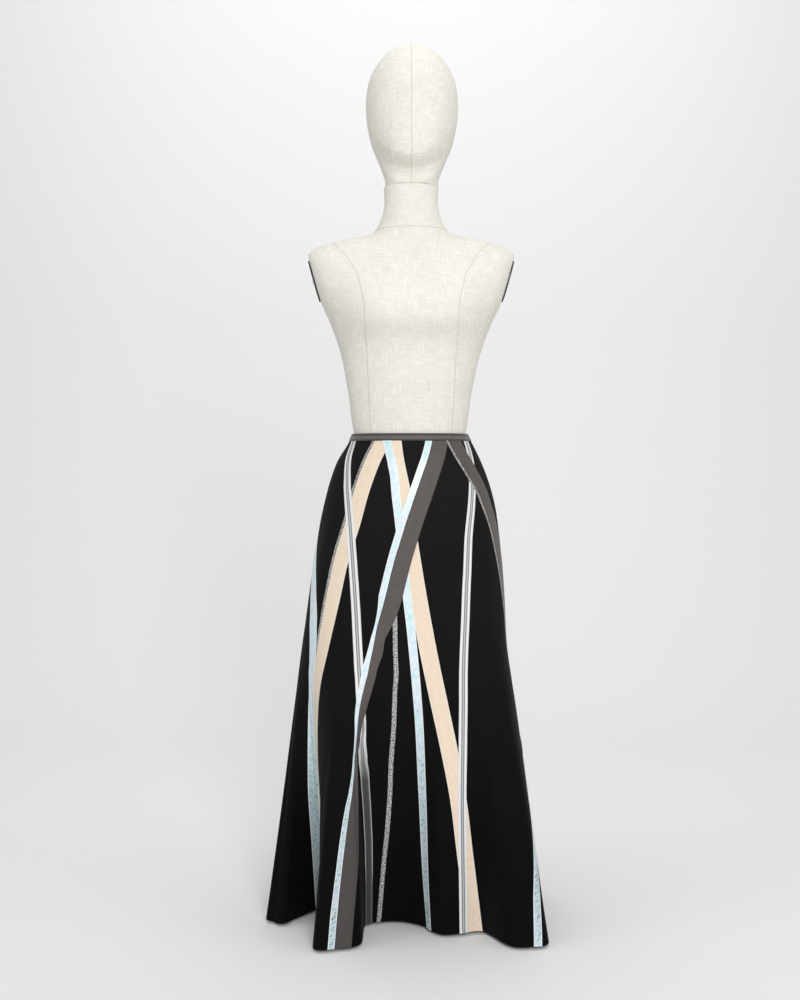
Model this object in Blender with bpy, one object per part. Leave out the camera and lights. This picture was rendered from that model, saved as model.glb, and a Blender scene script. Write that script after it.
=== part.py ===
"""Maxi skirt trimmed with crossing ribbons, worn by a limbless dress form on a stand.

Metres, +Z up. The front faces -Y, and the wearer's right side lies at -X. The origin is on
the floor, at the middle of the underside of the stand's plate.

The skirt is one surface, worked out from a table of sections and a table of hem folds.
The panels, the waist binding and the ribbons are all made from the same grid of points on
that surface, so that each lies on the one below it with an even gap.
"""
import math

import bmesh
import bpy
import numpy as np
from mathutils import Matrix, Vector

for old in list(bpy.data.objects):
    bpy.data.objects.remove(old, do_unlink=True)

# Driving dimensions

GAP = 0.0003              # between pieces that are sewn or rest on each other
CLOTH = 0.0012            # wall of the black skirt cloth
RIBBON = 0.0010           # wall of every ribbon
LAYER = RIBBON + GAP      # how much higher a ribbon lies where it crosses another

WAIST_Z = 0.883           # upper edge of the skirt
HEM_Z = 0.006             # lower edge, just above the floor
SKIRT_DROP = WAIST_Z - HEM_Z
BINDING_DROP = 0.012      # height of the waist binding
BODY_Y = -0.045           # the body's axis, in front of the stand's axis

# Skirt sections without their folds: height, reach from the body's axis each way, and the
# exponent of the oval, 2 for an ellipse and more for a squarer one
SECTION_COLUMNS = ("height", "right", "left", "front", "back", "square")
SECTIONS = (
    (0.883, 0.1090, 0.1045, 0.0880, 0.0880, 2.00),
    (0.871, 0.1140, 0.1108, 0.0920, 0.0940, 2.02),
    (0.836, 0.1350, 0.1280, 0.1050, 0.1110, 2.10),
    (0.799, 0.1490, 0.1425, 0.1130, 0.1240, 2.15),
    (0.762, 0.1590, 0.1530, 0.1180, 0.1340, 2.20),
    (0.688, 0.1740, 0.1640, 0.1230, 0.1430, 2.30),
    (0.577, 0.1905, 0.1725, 0.1270, 0.1480, 2.45),
    (0.490, 0.2030, 0.1765, 0.1290, 0.1520, 2.50),
    (0.392, 0.2110, 0.1900, 0.1300, 0.1560, 2.50),
    (0.200, 0.2240, 0.2150, 0.1320, 0.1660, 2.50),
    (0.006, 0.2370, 0.2320, 0.1320, 0.1760, 2.50),
)

# Hem folds seen from above, from the centre back round by the wearer's right to the
# centre back again: each fold's crest, then the trough that follows it, as the point
# farthest out or in, half the width there and the way it faces in degrees, 0 at +X and
# 270 at the front; then the height where the fold has faded out
FOLD_COLUMNS = ("name", "crest_x", "crest_y", "crest_w", "crest_way",
                "trough_x", "trough_y", "trough_w", "trough_way", "top")
FOLDS = (
    ("back right", -0.080, 0.212, 0.038, 110, -0.150, 0.150, 0.022, 130, 0.50),
    ("side right", -0.222, 0.128, 0.032, 150, -0.222, 0.045, 0.024, 185, 0.55),
    ("corner right", -0.249, -0.087, 0.022, 235, -0.152, -0.030, 0.016, 215, 0.60),
    ("front tube", -0.130, -0.206, 0.038, 280, -0.026, -0.090, 0.044, 270, 0.58),
    ("front swell", 0.064, -0.147, 0.026, 265, 0.118, -0.131, 0.014, 262, 0.45),
    ("corner left", 0.205, -0.199, 0.035, 283, 0.220, -0.035, 0.028, 355, 0.50),
    ("side left", 0.238, 0.075, 0.034, 20, 0.165, 0.125, 0.024, 40, 0.55),
    ("back left", 0.090, 0.208, 0.036, 68, 0.000, 0.172, 0.030, 90, 0.50),
)
FOLD_ROUND = 0.35              # how far a crest or trough curves back over its half width
FOLD_GROWTH = 1.25             # how a fold deepens from its top to the hem

# The steep flank of the front tube, towards the wearer's left: height, and the sideways
# places of the edge on the crest and the edge in the valley, before and after it is drawn in
FLANK_COLUMNS = ("height", "crest_from", "valley_from", "crest_to", "valley_to")
FLANK = (
    (0.460, -0.103, -0.048, -0.103, -0.048),
    (0.400, -0.103, -0.051, -0.1015, -0.070),
    (0.360, -0.103, -0.050, -0.1005, -0.081),
    (0.320, -0.103, -0.052, -0.1020, -0.0950),
    (0.300, -0.102, -0.052, -0.1020, -0.0955),
    (0.280, -0.101, -0.053, -0.1020, -0.0935),
    (0.240, -0.100, -0.055, -0.1000, -0.0890),
    (0.160, -0.098, -0.060, -0.0940, -0.0850),
    (0.100, -0.097, -0.063, -0.0910, -0.0830),
    (0.006, -0.095, -0.069, -0.0855, -0.0835),
)
FLANK_ENDS = (-0.165, -0.005)             # beyond these nothing moves
FLANK_SHARES = (0.30, 0.55)               # the stretch round the skirt that it lies in
FLANK_ROUNDING = (-0.005, -0.0025, 0.0, 0.0025, 0.005)

# Grid of the surface
COLUMNS_AROUND = 62
BEND_WEIGHT = 0.10        # metres of hem that one radian of bend counts for, in the columns
ROW_DROPS = (0.0, 0.012, 0.030, 0.055, 0.090, 0.140, 0.205, 0.285, 0.370,
             0.460, 0.550, 0.635, 0.720, 0.800, SKIRT_DROP)
SIDE_SEAM_SHARE = (0.26, 0.74)   # side seams, as shares of the way round from centre back


def smooth_between(xs, ys, x):
    """Value at x of the smooth line through the points xs, ys."""
    xs = np.asarray(xs, float)
    ys = np.asarray(ys, float)
    slopes = np.gradient(ys, xs)
    x = np.clip(x, xs[0], xs[-1])
    k = np.clip(np.searchsorted(xs, x) - 1, 0, len(xs) - 2)
    step = xs[k + 1] - xs[k]
    s = (x - xs[k]) / step
    start = (1 + 2 * s) * (1 - s) ** 2 * ys[k] + s * (1 - s) ** 2 * step * slopes[k]
    end = s * s * (3 - 2 * s) * ys[k + 1] + s * s * (s - 1) * step * slopes[k + 1]
    return start + end


def round_tip(x, y, half_width, way, sign):
    """Three points that round off a crest, sign 1, or a trough, sign -1."""
    tip = np.array([x, y])
    facing = np.array([math.cos(math.radians(way)), math.sin(math.radians(way))])
    aside = np.array([-facing[1], facing[0]]) * half_width
    back = facing * half_width * FOLD_ROUND * sign
    return [tip - aside - back, tip, tip + aside - back]


def hem_outline(steps=40):
    """The folded hem as a closed line of points, from the rows of FOLDS."""
    marks = []
    for row in FOLDS:
        marks += round_tip(*row[1:5], 1)
        marks += round_tip(*row[5:9], -1)
    count = len(marks)
    line = []
    for k in range(count):
        p = [marks[(k + shift) % count] for shift in (-1, 0, 1, 2)]
        for s in np.arange(steps) / steps:
            line.append(0.5 * (2 * p[1] + (p[2] - p[0]) * s
                               + (2 * p[0] - 5 * p[1] + 4 * p[2] - p[3]) * s * s
                               + (3 * p[1] - p[0] - 3 * p[2] + p[3]) * s ** 3))
    return np.array(line)


def halves(line):
    """A closed line split where it crosses X = 0, at the back and then at the front."""
    back = np.argmin(np.abs(line[:, 0]) + np.where(line[:, 1] > 0, 0, 1))
    line = np.roll(line, -back, axis=0)
    line = np.vstack([line, line[:1]])
    front = np.argmin(np.abs(line[:, 0]) + np.where(line[:, 1] < 0, 0, 1))
    return line[:front + 1], line[front:]


def along(line, shares):
    """Points of an open line at shares of its length."""
    steps = np.linalg.norm(np.diff(line, axis=0), axis=1)
    run = np.concatenate([[0], np.cumsum(steps)]) / steps.sum()
    return np.column_stack([np.interp(shares, run, line[:, k]) for k in (0, 1)])


def round_the_body(line, shares):
    """Points of a closed line, by share: 0 centre back, 0.5 centre front, 1 centre back."""
    shares = np.asarray(shares, float) % 1.0
    right, left = halves(line)
    points = np.where((shares < 0.5)[:, None], along(right, shares * 2), along(left, shares * 2 - 1))
    return points


def oval_outline(sections, height, steps=720):
    """A section worked out from a table of sections, as a closed line from the centre back."""
    table = np.array(sections)
    table = table[np.argsort(table[:, 0])]
    size = dict(zip(SECTION_COLUMNS[1:],
                    (smooth_between(table[:, 0], table[:, k], height) for k in range(1, 6))))
    angle = np.linspace(0, 2 * math.pi, steps, endpoint=False)
    side = np.where(np.sin(angle) > 0, size["right"], size["left"])
    depth = np.where(np.cos(angle) > 0, size["back"], size["front"])
    bow = 2 / size["square"]
    across = np.sign(np.sin(angle)) * np.abs(np.sin(angle)) ** bow
    deep = np.sign(np.cos(angle)) * np.abs(np.cos(angle)) ** bow
    return np.column_stack([-side * across, depth * deep])


# Colour, roughness and metal value of each finish
FINISHES = {
    "black_crepe": ((0.012, 0.011, 0.012), 0.85, 0.0),
    "binding_grosgrain": ((0.045, 0.042, 0.036), 0.70, 0.0),
    "stripe_tape": ((0.62, 0.63, 0.63), 0.55, 0.0),
    "peach_ribbon": ((0.86, 0.67, 0.49), 0.60, 0.0),
    "aqua_satin": ((0.55, 0.74, 0.77), 0.32, 0.0),
    "taupe_ribbon": ((0.115, 0.098, 0.092), 0.60, 0.0),
    "silver_braid": ((0.42, 0.41, 0.40), 0.45, 0.4),
    "cream_linen": ((0.66, 0.62, 0.52), 0.85, 0.0),
    "dark_metal": ((0.05, 0.05, 0.05), 0.40, 0.8),
    "steel_stand": ((0.55, 0.55, 0.56), 0.30, 1.0),
}

HEM_LINE = hem_outline()
FOLD_TOPS = [row[FOLD_COLUMNS.index("top")] for row in FOLDS]


def fold_top(shares):
    """Height at which the folds have faded out, round the skirt."""
    middles = (np.arange(len(FOLDS)) + 0.5) / len(FOLDS)
    return np.interp(np.asarray(shares) % 1.0, middles, FOLD_TOPS, period=1.0)


def draw_in_flank(flat, shares, height):
    """Move points of the front sideways, so that the tube's flank stands steep."""
    table = np.array(FLANK)[::-1]
    edge = {name: np.interp(height, table[:, 0], table[:, k + 1])
            for k, name in enumerate(FLANK_COLUMNS[1:])}
    places = (FLANK_ENDS[0], edge["crest_from"], edge["valley_from"], FLANK_ENDS[1])
    moves = (0.0, edge["crest_to"] - edge["crest_from"],
             edge["valley_to"] - edge["valley_from"], 0.0)
    move = np.mean([np.interp(flat[:, 0] + shift, places, moves) for shift in FLANK_ROUNDING],
                   axis=0)
    inside = (shares % 1.0 > FLANK_SHARES[0]) & (shares % 1.0 < FLANK_SHARES[1])
    flat[:, 0] += move * inside


def skirt_points(shares, drop):
    """Outer points of the skirt at one drop below its upper edge."""
    height = WAIST_Z - drop
    shares = np.asarray(shares, float)
    plain = round_the_body(oval_outline(SECTIONS, height), shares)
    folded = round_the_body(HEM_LINE, shares) - round_the_body(oval_outline(SECTIONS, HEM_Z), shares)
    top = fold_top(shares)
    growth = np.clip((top - height) / (top - HEM_Z), 0, 1) ** FOLD_GROWTH
    flat = plain + folded * growth[:, None]
    draw_in_flank(flat, shares, height)
    return np.column_stack([flat[:, 0], flat[:, 1] + BODY_Y, np.full(len(shares), height)])


def column_shares():
    """Shares of the grid's columns: closer together where the hem bends more."""
    fine = np.linspace(0, 1, 2001)
    line = round_the_body(HEM_LINE, fine)
    step = np.diff(line, axis=0)
    heading = np.unwrap(np.arctan2(step[:, 1], step[:, 0]))
    bend = np.abs(np.diff(heading, append=heading[-1]))
    weight = np.linalg.norm(step, axis=1) + BEND_WEIGHT * bend
    run = np.concatenate([[0], np.cumsum(weight)])
    fixed = (0.0, SIDE_SEAM_SHARE[0], SIDE_SEAM_SHARE[1], 1.0)
    marks = np.interp(fixed, fine, run)
    shares = []
    for start, end in zip(marks[:-1], marks[1:]):
        count = max(4, round(COLUMNS_AROUND * (end - start) / run[-1]))
        shares.extend(np.interp(np.linspace(start, end, count, endpoint=False), run, fine))
    return np.array(shares + [1.0])


SHARES = column_shares()
DROPS = np.array(ROW_DROPS)


def surface_grid():
    """Outer points and outward normals at every crossing of SHARES and DROPS."""
    tiny = 0.0005
    points = np.array([skirt_points(SHARES, drop) for drop in DROPS])
    across = np.array([skirt_points(SHARES + tiny, drop) - skirt_points(SHARES - tiny, drop)
                       for drop in DROPS])
    down = []
    for drop in DROPS:
        low = min(drop + tiny, SKIRT_DROP)
        high = max(drop - tiny, 0.0)
        down.append(skirt_points(SHARES, low) - skirt_points(SHARES, high))
    normals = np.cross(np.array(down), across)
    normals /= np.linalg.norm(normals, axis=2)[:, :, None]
    return points, normals


POINTS, NORMALS = surface_grid()


def on_surface(share, drop, lift):
    """A point on the faceted skirt, lifted off it along its normal."""
    i = int(np.clip(np.searchsorted(SHARES, share, side="right") - 1, 0, len(SHARES) - 2))
    j = int(np.clip(np.searchsorted(DROPS, drop, side="right") - 1, 0, len(DROPS) - 2))
    a = (share - SHARES[i]) / (SHARES[i + 1] - SHARES[i])
    b = (drop - DROPS[j]) / (DROPS[j + 1] - DROPS[j])
    if a >= b:
        weights = ((j, i, 1 - a), (j, i + 1, a - b), (j + 1, i + 1, b))
    else:
        weights = ((j, i, 1 - b), (j + 1, i + 1, a), (j + 1, i, b - a))
    point = sum(w * POINTS[r, c] for r, c, w in weights)
    normal = sum(w * NORMALS[r, c] for r, c, w in weights)
    return point + normal * lift


def material(name):
    """A plain Principled material with the colour, roughness and metal value of FINISHES."""
    colour, roughness, metallic = FINISHES[name]
    made = bpy.data.materials.new(name)
    made.use_nodes = True
    shader = made.node_tree.nodes["Principled BSDF"]
    shader.inputs["Base Color"].default_value = (*colour, 1.0)
    shader.inputs["Roughness"].default_value = roughness
    shader.inputs["Metallic"].default_value = metallic
    return made


def add_piece(name, vertices, faces, finish, smooth_angle=None):
    """A mesh object from vertices and faces, with its material."""
    mesh = bpy.data.meshes.new(name)
    mesh.from_pydata([tuple(map(float, v)) for v in vertices], [], faces)
    mesh.materials.append(finish)
    if smooth_angle is not None:
        mesh.shade_smooth()
        mesh.set_sharp_from_angle(angle=math.radians(smooth_angle))
    made = bpy.data.objects.new(name, mesh)
    bpy.context.scene.collection.objects.link(made)
    return made


def add_bmesh(name, shape, finish, smooth_angle=None):
    """A mesh object from a bmesh, with its material."""
    bmesh.ops.recalc_face_normals(shape, faces=shape.faces)
    mesh = bpy.data.meshes.new(name)
    shape.to_mesh(mesh)
    shape.free()
    mesh.materials.append(finish)
    if smooth_angle is not None:
        mesh.shade_smooth()
        mesh.set_sharp_from_angle(angle=math.radians(smooth_angle))
    made = bpy.data.objects.new(name, mesh)
    bpy.context.scene.collection.objects.link(made)
    return made


# Skirt panels

def add_panel(name, first_share, last_share, finish):
    """A panel of the skirt between two seams: a wall from the grid's points."""
    inside = (SHARES >= first_share - 1e-9) & (SHARES <= last_share + 1e-9)
    columns = np.flatnonzero(inside)
    width = len(columns)
    outer = POINTS[:, columns].copy()
    normal = NORMALS[:, columns].copy()
    for edge, inner in ((0, 1), (-1, -2)):
        run = outer[:, inner] - outer[:, edge]
        length = np.linalg.norm(run, axis=1)[:, None]
        outer[:, edge] += run / length * (GAP / 2)
    back = outer - normal * CLOTH
    vertices = np.vstack([outer.reshape(-1, 3), back.reshape(-1, 3)])
    count = len(DROPS) * width

    def at(row, column, layer):
        return layer * count + row * width + column

    faces = []
    for row in range(len(DROPS) - 1):
        for column in range(width - 1):
            a = (row, column)
            b = (row, column + 1)
            c = (row + 1, column + 1)
            d = (row + 1, column)
            for corner in ((a, c, b), (a, d, c)):
                faces.append([at(*p, 0) for p in corner])
                faces.append([at(*p, 1) for p in reversed(corner)])
    rim = [(0, c) for c in range(width)]
    rim += [(r, width - 1) for r in range(1, len(DROPS))]
    rim += [(len(DROPS) - 1, c) for c in range(width - 2, -1, -1)]
    rim += [(r, 0) for r in range(len(DROPS) - 2, 0, -1)]
    for here, there in zip(rim, rim[1:] + rim[:1]):
        faces.append([at(*here, 0), at(*there, 0), at(*there, 1), at(*here, 1)])
    return add_piece(name, vertices, faces, finish, smooth_angle=50)


# Ribbons

CUT_APART = 0.002         # least distance between two cuts across a ribbon
RIBBON_SEARCH = 0.12      # how far round the skirt either side of a path its edges may lie
WELD = 2e-5               # corners closer than this are one


def clipped(polygon, triangle):
    """The part of a convex flat polygon that lies inside a triangle."""
    result = polygon
    for k in range(3):
        start = triangle[k]
        edge = triangle[(k + 1) % 3] - start
        kept = []
        for here, there in zip(result, result[1:] + result[:1]):
            side_here = edge[0] * (here - start)[1] - edge[1] * (here - start)[0]
            side_there = edge[0] * (there - start)[1] - edge[1] * (there - start)[0]
            if side_here >= 0:
                kept.append(here)
            if side_here * side_there < 0:
                kept.append(here + (there - here) * side_here / (side_here - side_there))
        result = kept
        if len(result) < 3:
            return []
    return result


def ribbon_shares(path, across, drop):
    """Share round the skirt of a line that runs beside a path, across metres from it."""
    tiny = 0.002
    drops, turns = zip(*path)

    def path_share(at_drop):
        return 0.5 + smooth_between(drops, turns, at_drop) / 360.0

    low = max(drop - tiny, drops[0])
    high = min(drop + tiny, drops[-1])
    share = path_share(drop)
    run = (skirt_points(np.array([path_share(high)]), min(high, SKIRT_DROP))
           - skirt_points(np.array([path_share(low)]), max(low, 0.0)))[0]
    level = np.diff(skirt_points(share + np.array([-tiny, tiny]), drop), axis=0)[0]
    sine = np.linalg.norm(np.cross(run, level)) / np.linalg.norm(run) / np.linalg.norm(level)
    near = share + np.linspace(-RIBBON_SEARCH, RIBBON_SEARCH, 801)
    steps = np.linalg.norm(np.diff(skirt_points(near, drop), axis=0), axis=1)
    length = np.concatenate([[0], np.cumsum(steps)])
    return np.interp(np.interp(share, near, length) + across / sine, length, near)


def add_ribbon(name, path, across, layers, finish):
    """A ribbon on the skirt, beside a path, between two distances across it.

    The path's rows are a drop below the waist and a turn in degrees from the centre front.
    The ribbon is cut along every facet of the cloth, so it lies on them with an even gap.
    The layers' rows are a drop and how many ribbons lie under this one there.
    """
    scale = np.array([2.0, 1.0])
    first = path[0][0]
    last = path[-1][0]
    cuts = {first, last, *(d for d, _ in layers if first < d < last)}
    cuts.update(float(d) for d in DROPS if min(abs(d - c) for c in cuts) > CUT_APART)
    cuts = sorted(c for c in cuts if first <= c <= last)
    edges = [[np.array([ribbon_shares(path, side, d), d]) for side in across] for d in cuts]
    sheet = bmesh.new()
    for (a, b), (d, c) in zip(edges[:-1], edges[1:]):
        row = int(np.clip(np.searchsorted(DROPS, (a[1] + d[1]) / 2) - 1, 0, len(DROPS) - 2))
        lowest = min(a[0], d[0])
        highest = max(b[0], c[0])
        for column in range(len(SHARES) - 1):
            if SHARES[column + 1] <= lowest or SHARES[column] >= highest:
                continue
            corner = [np.array([SHARES[column + i], DROPS[row + j]])
                      for i, j in ((0, 0), (1, 0), (1, 1), (0, 1))]
            for triangle in ((corner[0], corner[1], corner[2]), (corner[0], corner[2], corner[3])):
                shape = clipped([a, b, c, d], triangle)
                if len(shape) >= 3:
                    corners = [sheet.verts.new((*(p * scale), 0)) for p in shape]
                    sheet.faces.new(corners)
    bmesh.ops.remove_doubles(sheet, verts=sheet.verts, dist=WELD)
    bmesh.ops.dissolve_degenerate(sheet, edges=sheet.edges, dist=WELD)
    bmesh.ops.triangulate(sheet, faces=sheet.faces)
    sheet.verts.index_update()
    layer_drops, layer_counts = zip(*layers)
    vertices = []
    for top in (0, 1):
        for corner in sheet.verts:
            share, drop = np.array(corner.co[:2]) / scale
            under = GAP + LAYER * np.interp(drop, layer_drops, layer_counts)
            vertices.append(on_surface(share, drop, under + RIBBON * top))
    count = len(sheet.verts)
    faces = []
    for face in sheet.faces:
        corners = [v.index for v in face.verts]
        faces.append([c + count for c in reversed(corners)])
        faces.append(corners)
    for edge in sheet.edges:
        if edge.is_boundary:
            loop = edge.link_loops[0]
            here = loop.vert.index
            there = loop.link_loop_next.vert.index
            faces.append([there, here, here + count, there + count])
    sheet.free()
    return add_piece(name, vertices, faces, finish, smooth_angle=40)


# The form: sections of its body and of its head, in the columns of SECTION_COLUMNS
FORM_SECTIONS = (
    (0.600, 0.1660, 0.1600, 0.1170, 0.1370, 2.30),
    (0.688, 0.1640, 0.1580, 0.1170, 0.1370, 2.25),
    (0.762, 0.1535, 0.1475, 0.1135, 0.1295, 2.15),
    (0.799, 0.1440, 0.1380, 0.1090, 0.1195, 2.10),
    (0.836, 0.1300, 0.1235, 0.1005, 0.1060, 2.05),
    (0.871, 0.1098, 0.1066, 0.0880, 0.0896, 2.00),
    (0.884, 0.1054, 0.1008, 0.0846, 0.0846, 2.00),
    (0.897, 0.1074, 0.1030, 0.0860, 0.0860, 2.00),
    (0.915, 0.1104, 0.1054, 0.0880, 0.0885, 2.00),
    (0.945, 0.1136, 0.1090, 0.0910, 0.0920, 2.02),
    (0.982, 0.1196, 0.1160, 0.0960, 0.0970, 2.05),
    (1.019, 0.1264, 0.1240, 0.1010, 0.1025, 2.10),
    (1.044, 0.1335, 0.1318, 0.1090, 0.1055, 2.13),
    (1.056, 0.1370, 0.1356, 0.1165, 0.1070, 2.15),
    (1.072, 0.1432, 0.1423, 0.1290, 0.1085, 2.21),
    (1.093, 0.1513, 0.1507, 0.1380, 0.1105, 2.30),
    (1.130, 0.1690, 0.1690, 0.1275, 0.1135, 2.60),
    (1.167, 0.1800, 0.1800, 0.1057, 0.1140, 2.90),
    (1.187, 0.1864, 0.1864, 0.0923, 0.1110, 2.90),
    (1.204, 0.1904, 0.1904, 0.0800, 0.1050, 2.70),
    (1.212, 0.1885, 0.1885, 0.0750, 0.1010, 2.50),
    (1.219, 0.1810, 0.1810, 0.0710, 0.0970, 2.35),
    (1.226, 0.1675, 0.1675, 0.0670, 0.0925, 2.25),
    (1.233, 0.1450, 0.1450, 0.0625, 0.0860, 2.15),
    (1.240, 0.1090, 0.1090, 0.0580, 0.0790, 2.05),
    (1.248, 0.0760, 0.0760, 0.0540, 0.0715, 2.00),
    (1.259, 0.0646, 0.0646, 0.0510, 0.0660, 2.00),
    (1.277, 0.0553, 0.0553, 0.0480, 0.0620, 2.00),
    (1.297, 0.0500, 0.0500, 0.0460, 0.0600, 2.00),
    (1.334, 0.0497, 0.0497, 0.0455, 0.0600, 2.00),
)
HEAD_SECTIONS = (
    (1.3343, 0.0478, 0.0492, 0.0470, 0.0600, 2.00),
    (1.348, 0.0480, 0.0500, 0.0525, 0.0640, 2.00),
    (1.357, 0.0510, 0.0533, 0.0600, 0.0685, 2.00),
    (1.366, 0.0540, 0.0565, 0.0800, 0.0730, 2.00),
    (1.374, 0.0571, 0.0598, 0.0915, 0.0770, 2.00),
    (1.384, 0.0610, 0.0640, 0.0968, 0.0820, 2.00),
    (1.402, 0.0690, 0.0720, 0.0978, 0.0900, 2.00),
    (1.421, 0.0748, 0.0778, 0.0972, 0.0960, 2.00),
    (1.446, 0.0802, 0.0832, 0.0955, 0.1010, 2.00),
    (1.476, 0.0828, 0.0858, 0.0950, 0.1045, 2.00),
    (1.503, 0.0814, 0.0842, 0.0915, 0.1030, 2.00),
    (1.527, 0.0765, 0.0795, 0.0850, 0.0970, 2.00),
    (1.548, 0.0665, 0.0695, 0.0750, 0.0860, 2.00),
    (1.566, 0.0530, 0.0560, 0.0610, 0.0690, 2.00),
    (1.578, 0.0390, 0.0415, 0.0450, 0.0510, 2.00),
    (1.586, 0.0215, 0.0235, 0.0250, 0.0280, 2.00),
    (1.589, 0.0070, 0.0080, 0.0080, 0.0090, 2.00),
)
FORM_COLUMNS = 32
HEAD_COLUMNS = 24

# Armhole plates: where the flat armhole crosses the form, and the oval plate on it
ARM_TOP = (0.1876, 1.207)     # distance from the centre, height
ARM_LOW = (0.1645, 1.124)
PLATE_HEIGHT = 0.078
PLATE_DEPTH = 0.058
PLATE_THICK = 0.003
PLATE_BACK = 0.004            # how far behind the body's axis the plate's middle lies
BOLT_RADIUS = 0.004
BOLT_HIGH = 0.002

# Stand
POLE_RADIUS = 0.016
BASE_RADIUS = 0.110
BASE_THICK = 0.008

# Zip at the top of the centre back seam
ZIP_DROP = 0.0205             # the pull's pin, below the skirt's upper edge
SLIDER_WIDTH = 0.0070
SLIDER_ABOVE = 0.0055         # slider's length above the pin and below it
SLIDER_BELOW = 0.0050
SLIDER_THICK = 0.0020
SLIDER_LIFT = 0.0005
PIN_LIFT = 0.0046             # pin's axis off the cloth
PIN_RADIUS = 0.0005
EAR_OUTSIDE = 0.0022          # half the distance over both ears
EAR_INSIDE = 0.0012
EAR_REACH = 0.0014            # ears round the pin's axis
EYE_RADIUS = 0.0014
EYE_HOLE = 0.0008
EYE_HALF = 0.0009             # half the pull's width between the ears
PULL_NECK = 0.0010            # length of its neck, below the eye
PULL_SHOULDER = 0.0035        # where it has its full width, below the eye
PULL_HALF = 0.0020            # half that width
PULL_CORNER = 0.0010          # cut off its lower corners
PULL_OVERLAP = 0.0006         # how far the tab reaches into the eye's ring
PULL_LONG = 0.0200
PULL_THICK = 0.0010
PULL_LEAN = 8.0               # degrees that the hanging pull leans in to the cloth


def loft(sections, columns):
    """A closed bmesh through horizontal sections, one ring for each row of the table."""
    shares = np.arange(columns) / columns
    rings = []
    for row in sections:
        line = round_the_body(oval_outline(sections, row[0]), shares)
        rings.append([(x, y + BODY_Y, row[0]) for x, y in line])
    shape = bmesh.new()
    grid = [[shape.verts.new(p) for p in ring] for ring in rings]
    for low, high in zip(grid[:-1], grid[1:]):
        for k in range(columns):
            n = (k + 1) % columns
            shape.faces.new((low[k], low[n], high[n], high[k]))
    shape.faces.new(grid[0])
    shape.faces.new(grid[-1])
    return shape


def arm_plane(side):
    """A point on the flat armhole, the way it faces and the way up along it."""
    top = Vector((side * ARM_TOP[0], 0.0, ARM_TOP[1]))
    low = Vector((side * ARM_LOW[0], 0.0, ARM_LOW[1]))
    up = (top - low).normalized()
    out = up.cross(Vector((0, -1, 0))) * side
    middle = (top + low) / 2
    middle.y = BODY_Y + PLATE_BACK
    return middle, out.normalized(), up


def add_form_torso(finish):
    """The form's body from the hips to the neck, flat at both armholes."""
    shape = loft(FORM_SECTIONS, FORM_COLUMNS)
    for side in (-1, 1):
        middle, out, _ = arm_plane(side)
        geometry = shape.verts[:] + shape.edges[:] + shape.faces[:]
        cut = bmesh.ops.bisect_plane(shape, geom=geometry, plane_co=middle, plane_no=out,
                                     clear_outer=True)
        rim = [e for e in cut["geom_cut"] if isinstance(e, bmesh.types.BMEdge)]
        bmesh.ops.contextual_create(shape, geom=rim)
    return add_bmesh("form_torso", shape, finish, smooth_angle=35)


def add_arm_plate(name, side, finish):
    """An oval plate on a flat armhole, with a round bolt head in its middle."""
    middle, out, up = arm_plane(side)
    frame = Matrix((out.cross(up), up, out)).transposed().to_4x4()
    frame.translation = middle + out * (GAP + PLATE_THICK / 2)
    shape = bmesh.new()
    bmesh.ops.create_cone(shape, cap_ends=True, segments=32, radius1=0.5, radius2=0.5, depth=1.0)
    bmesh.ops.scale(shape, vec=(PLATE_DEPTH, PLATE_HEIGHT, PLATE_THICK), verts=shape.verts)
    cap = max(shape.faces, key=lambda f: f.calc_center_median().z)
    bmesh.ops.inset_individual(shape, faces=[cap], thickness=BOLT_RADIUS)
    for vert in cap.verts:
        angle = math.atan2(vert.co.y / PLATE_HEIGHT, vert.co.x / PLATE_DEPTH)
        vert.co = (BOLT_RADIUS * math.cos(angle), BOLT_RADIUS * math.sin(angle), vert.co.z)
    raised = bmesh.ops.extrude_face_region(shape, geom=[cap])
    top = [g for g in raised["geom"] if isinstance(g, bmesh.types.BMVert)]
    bmesh.ops.translate(shape, vec=(0, 0, BOLT_HIGH), verts=top)
    bmesh.ops.delete(shape, geom=[cap], context="FACES")
    made = add_bmesh(name, shape, finish, smooth_angle=35)
    made.matrix_world = frame
    return made


def add_cylinder(name, radius, low, high, sides, finish):
    """An upright cylinder round the stand's axis."""
    shape = bmesh.new()
    bmesh.ops.create_cone(shape, cap_ends=True, segments=sides, radius1=radius, radius2=radius,
                          depth=high - low)
    bmesh.ops.translate(shape, vec=(0, 0, (high + low) / 2), verts=shape.verts)
    return add_bmesh(name, shape, finish, smooth_angle=35)


# Waist binding

def add_binding(name, finish):
    """A folded band round the waist edge, over it outside and inside."""
    outside = GAP
    inside = -(CLOTH + GAP)
    profile = (
        (1, outside), (0, outside), (0, inside), (1, inside),
        (1, inside - RIBBON), (0, inside - RIBBON), (0, outside + RIBBON), (1, outside + RIBBON),
    )
    lip = {1: GAP, 2: GAP, 5: GAP + RIBBON, 6: GAP + RIBBON}
    columns = np.arange(len(SHARES) - 1)
    vertices = []
    for column in columns:
        for k, (row, lift) in enumerate(profile):
            point = POINTS[row, column] + NORMALS[row, column] * lift
            vertices.append(point + np.array([0, 0, lip.get(k, 0.0)]))
    size = len(profile)
    faces = []
    for column in columns:
        after = (column + 1) % len(columns)
        for k in range(size):
            n = (k + 1) % size
            a, b = column * size + k, column * size + n
            c, d = after * size + n, after * size + k
            faces.append([a, b, c])
            faces.append([a, c, d])
    shape = bmesh.new()
    made = [shape.verts.new(v) for v in vertices]
    for face in faces:
        shape.faces.new([made[k] for k in face])
    return add_bmesh(name, shape, finish, smooth_angle=50)


# Zip

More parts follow.
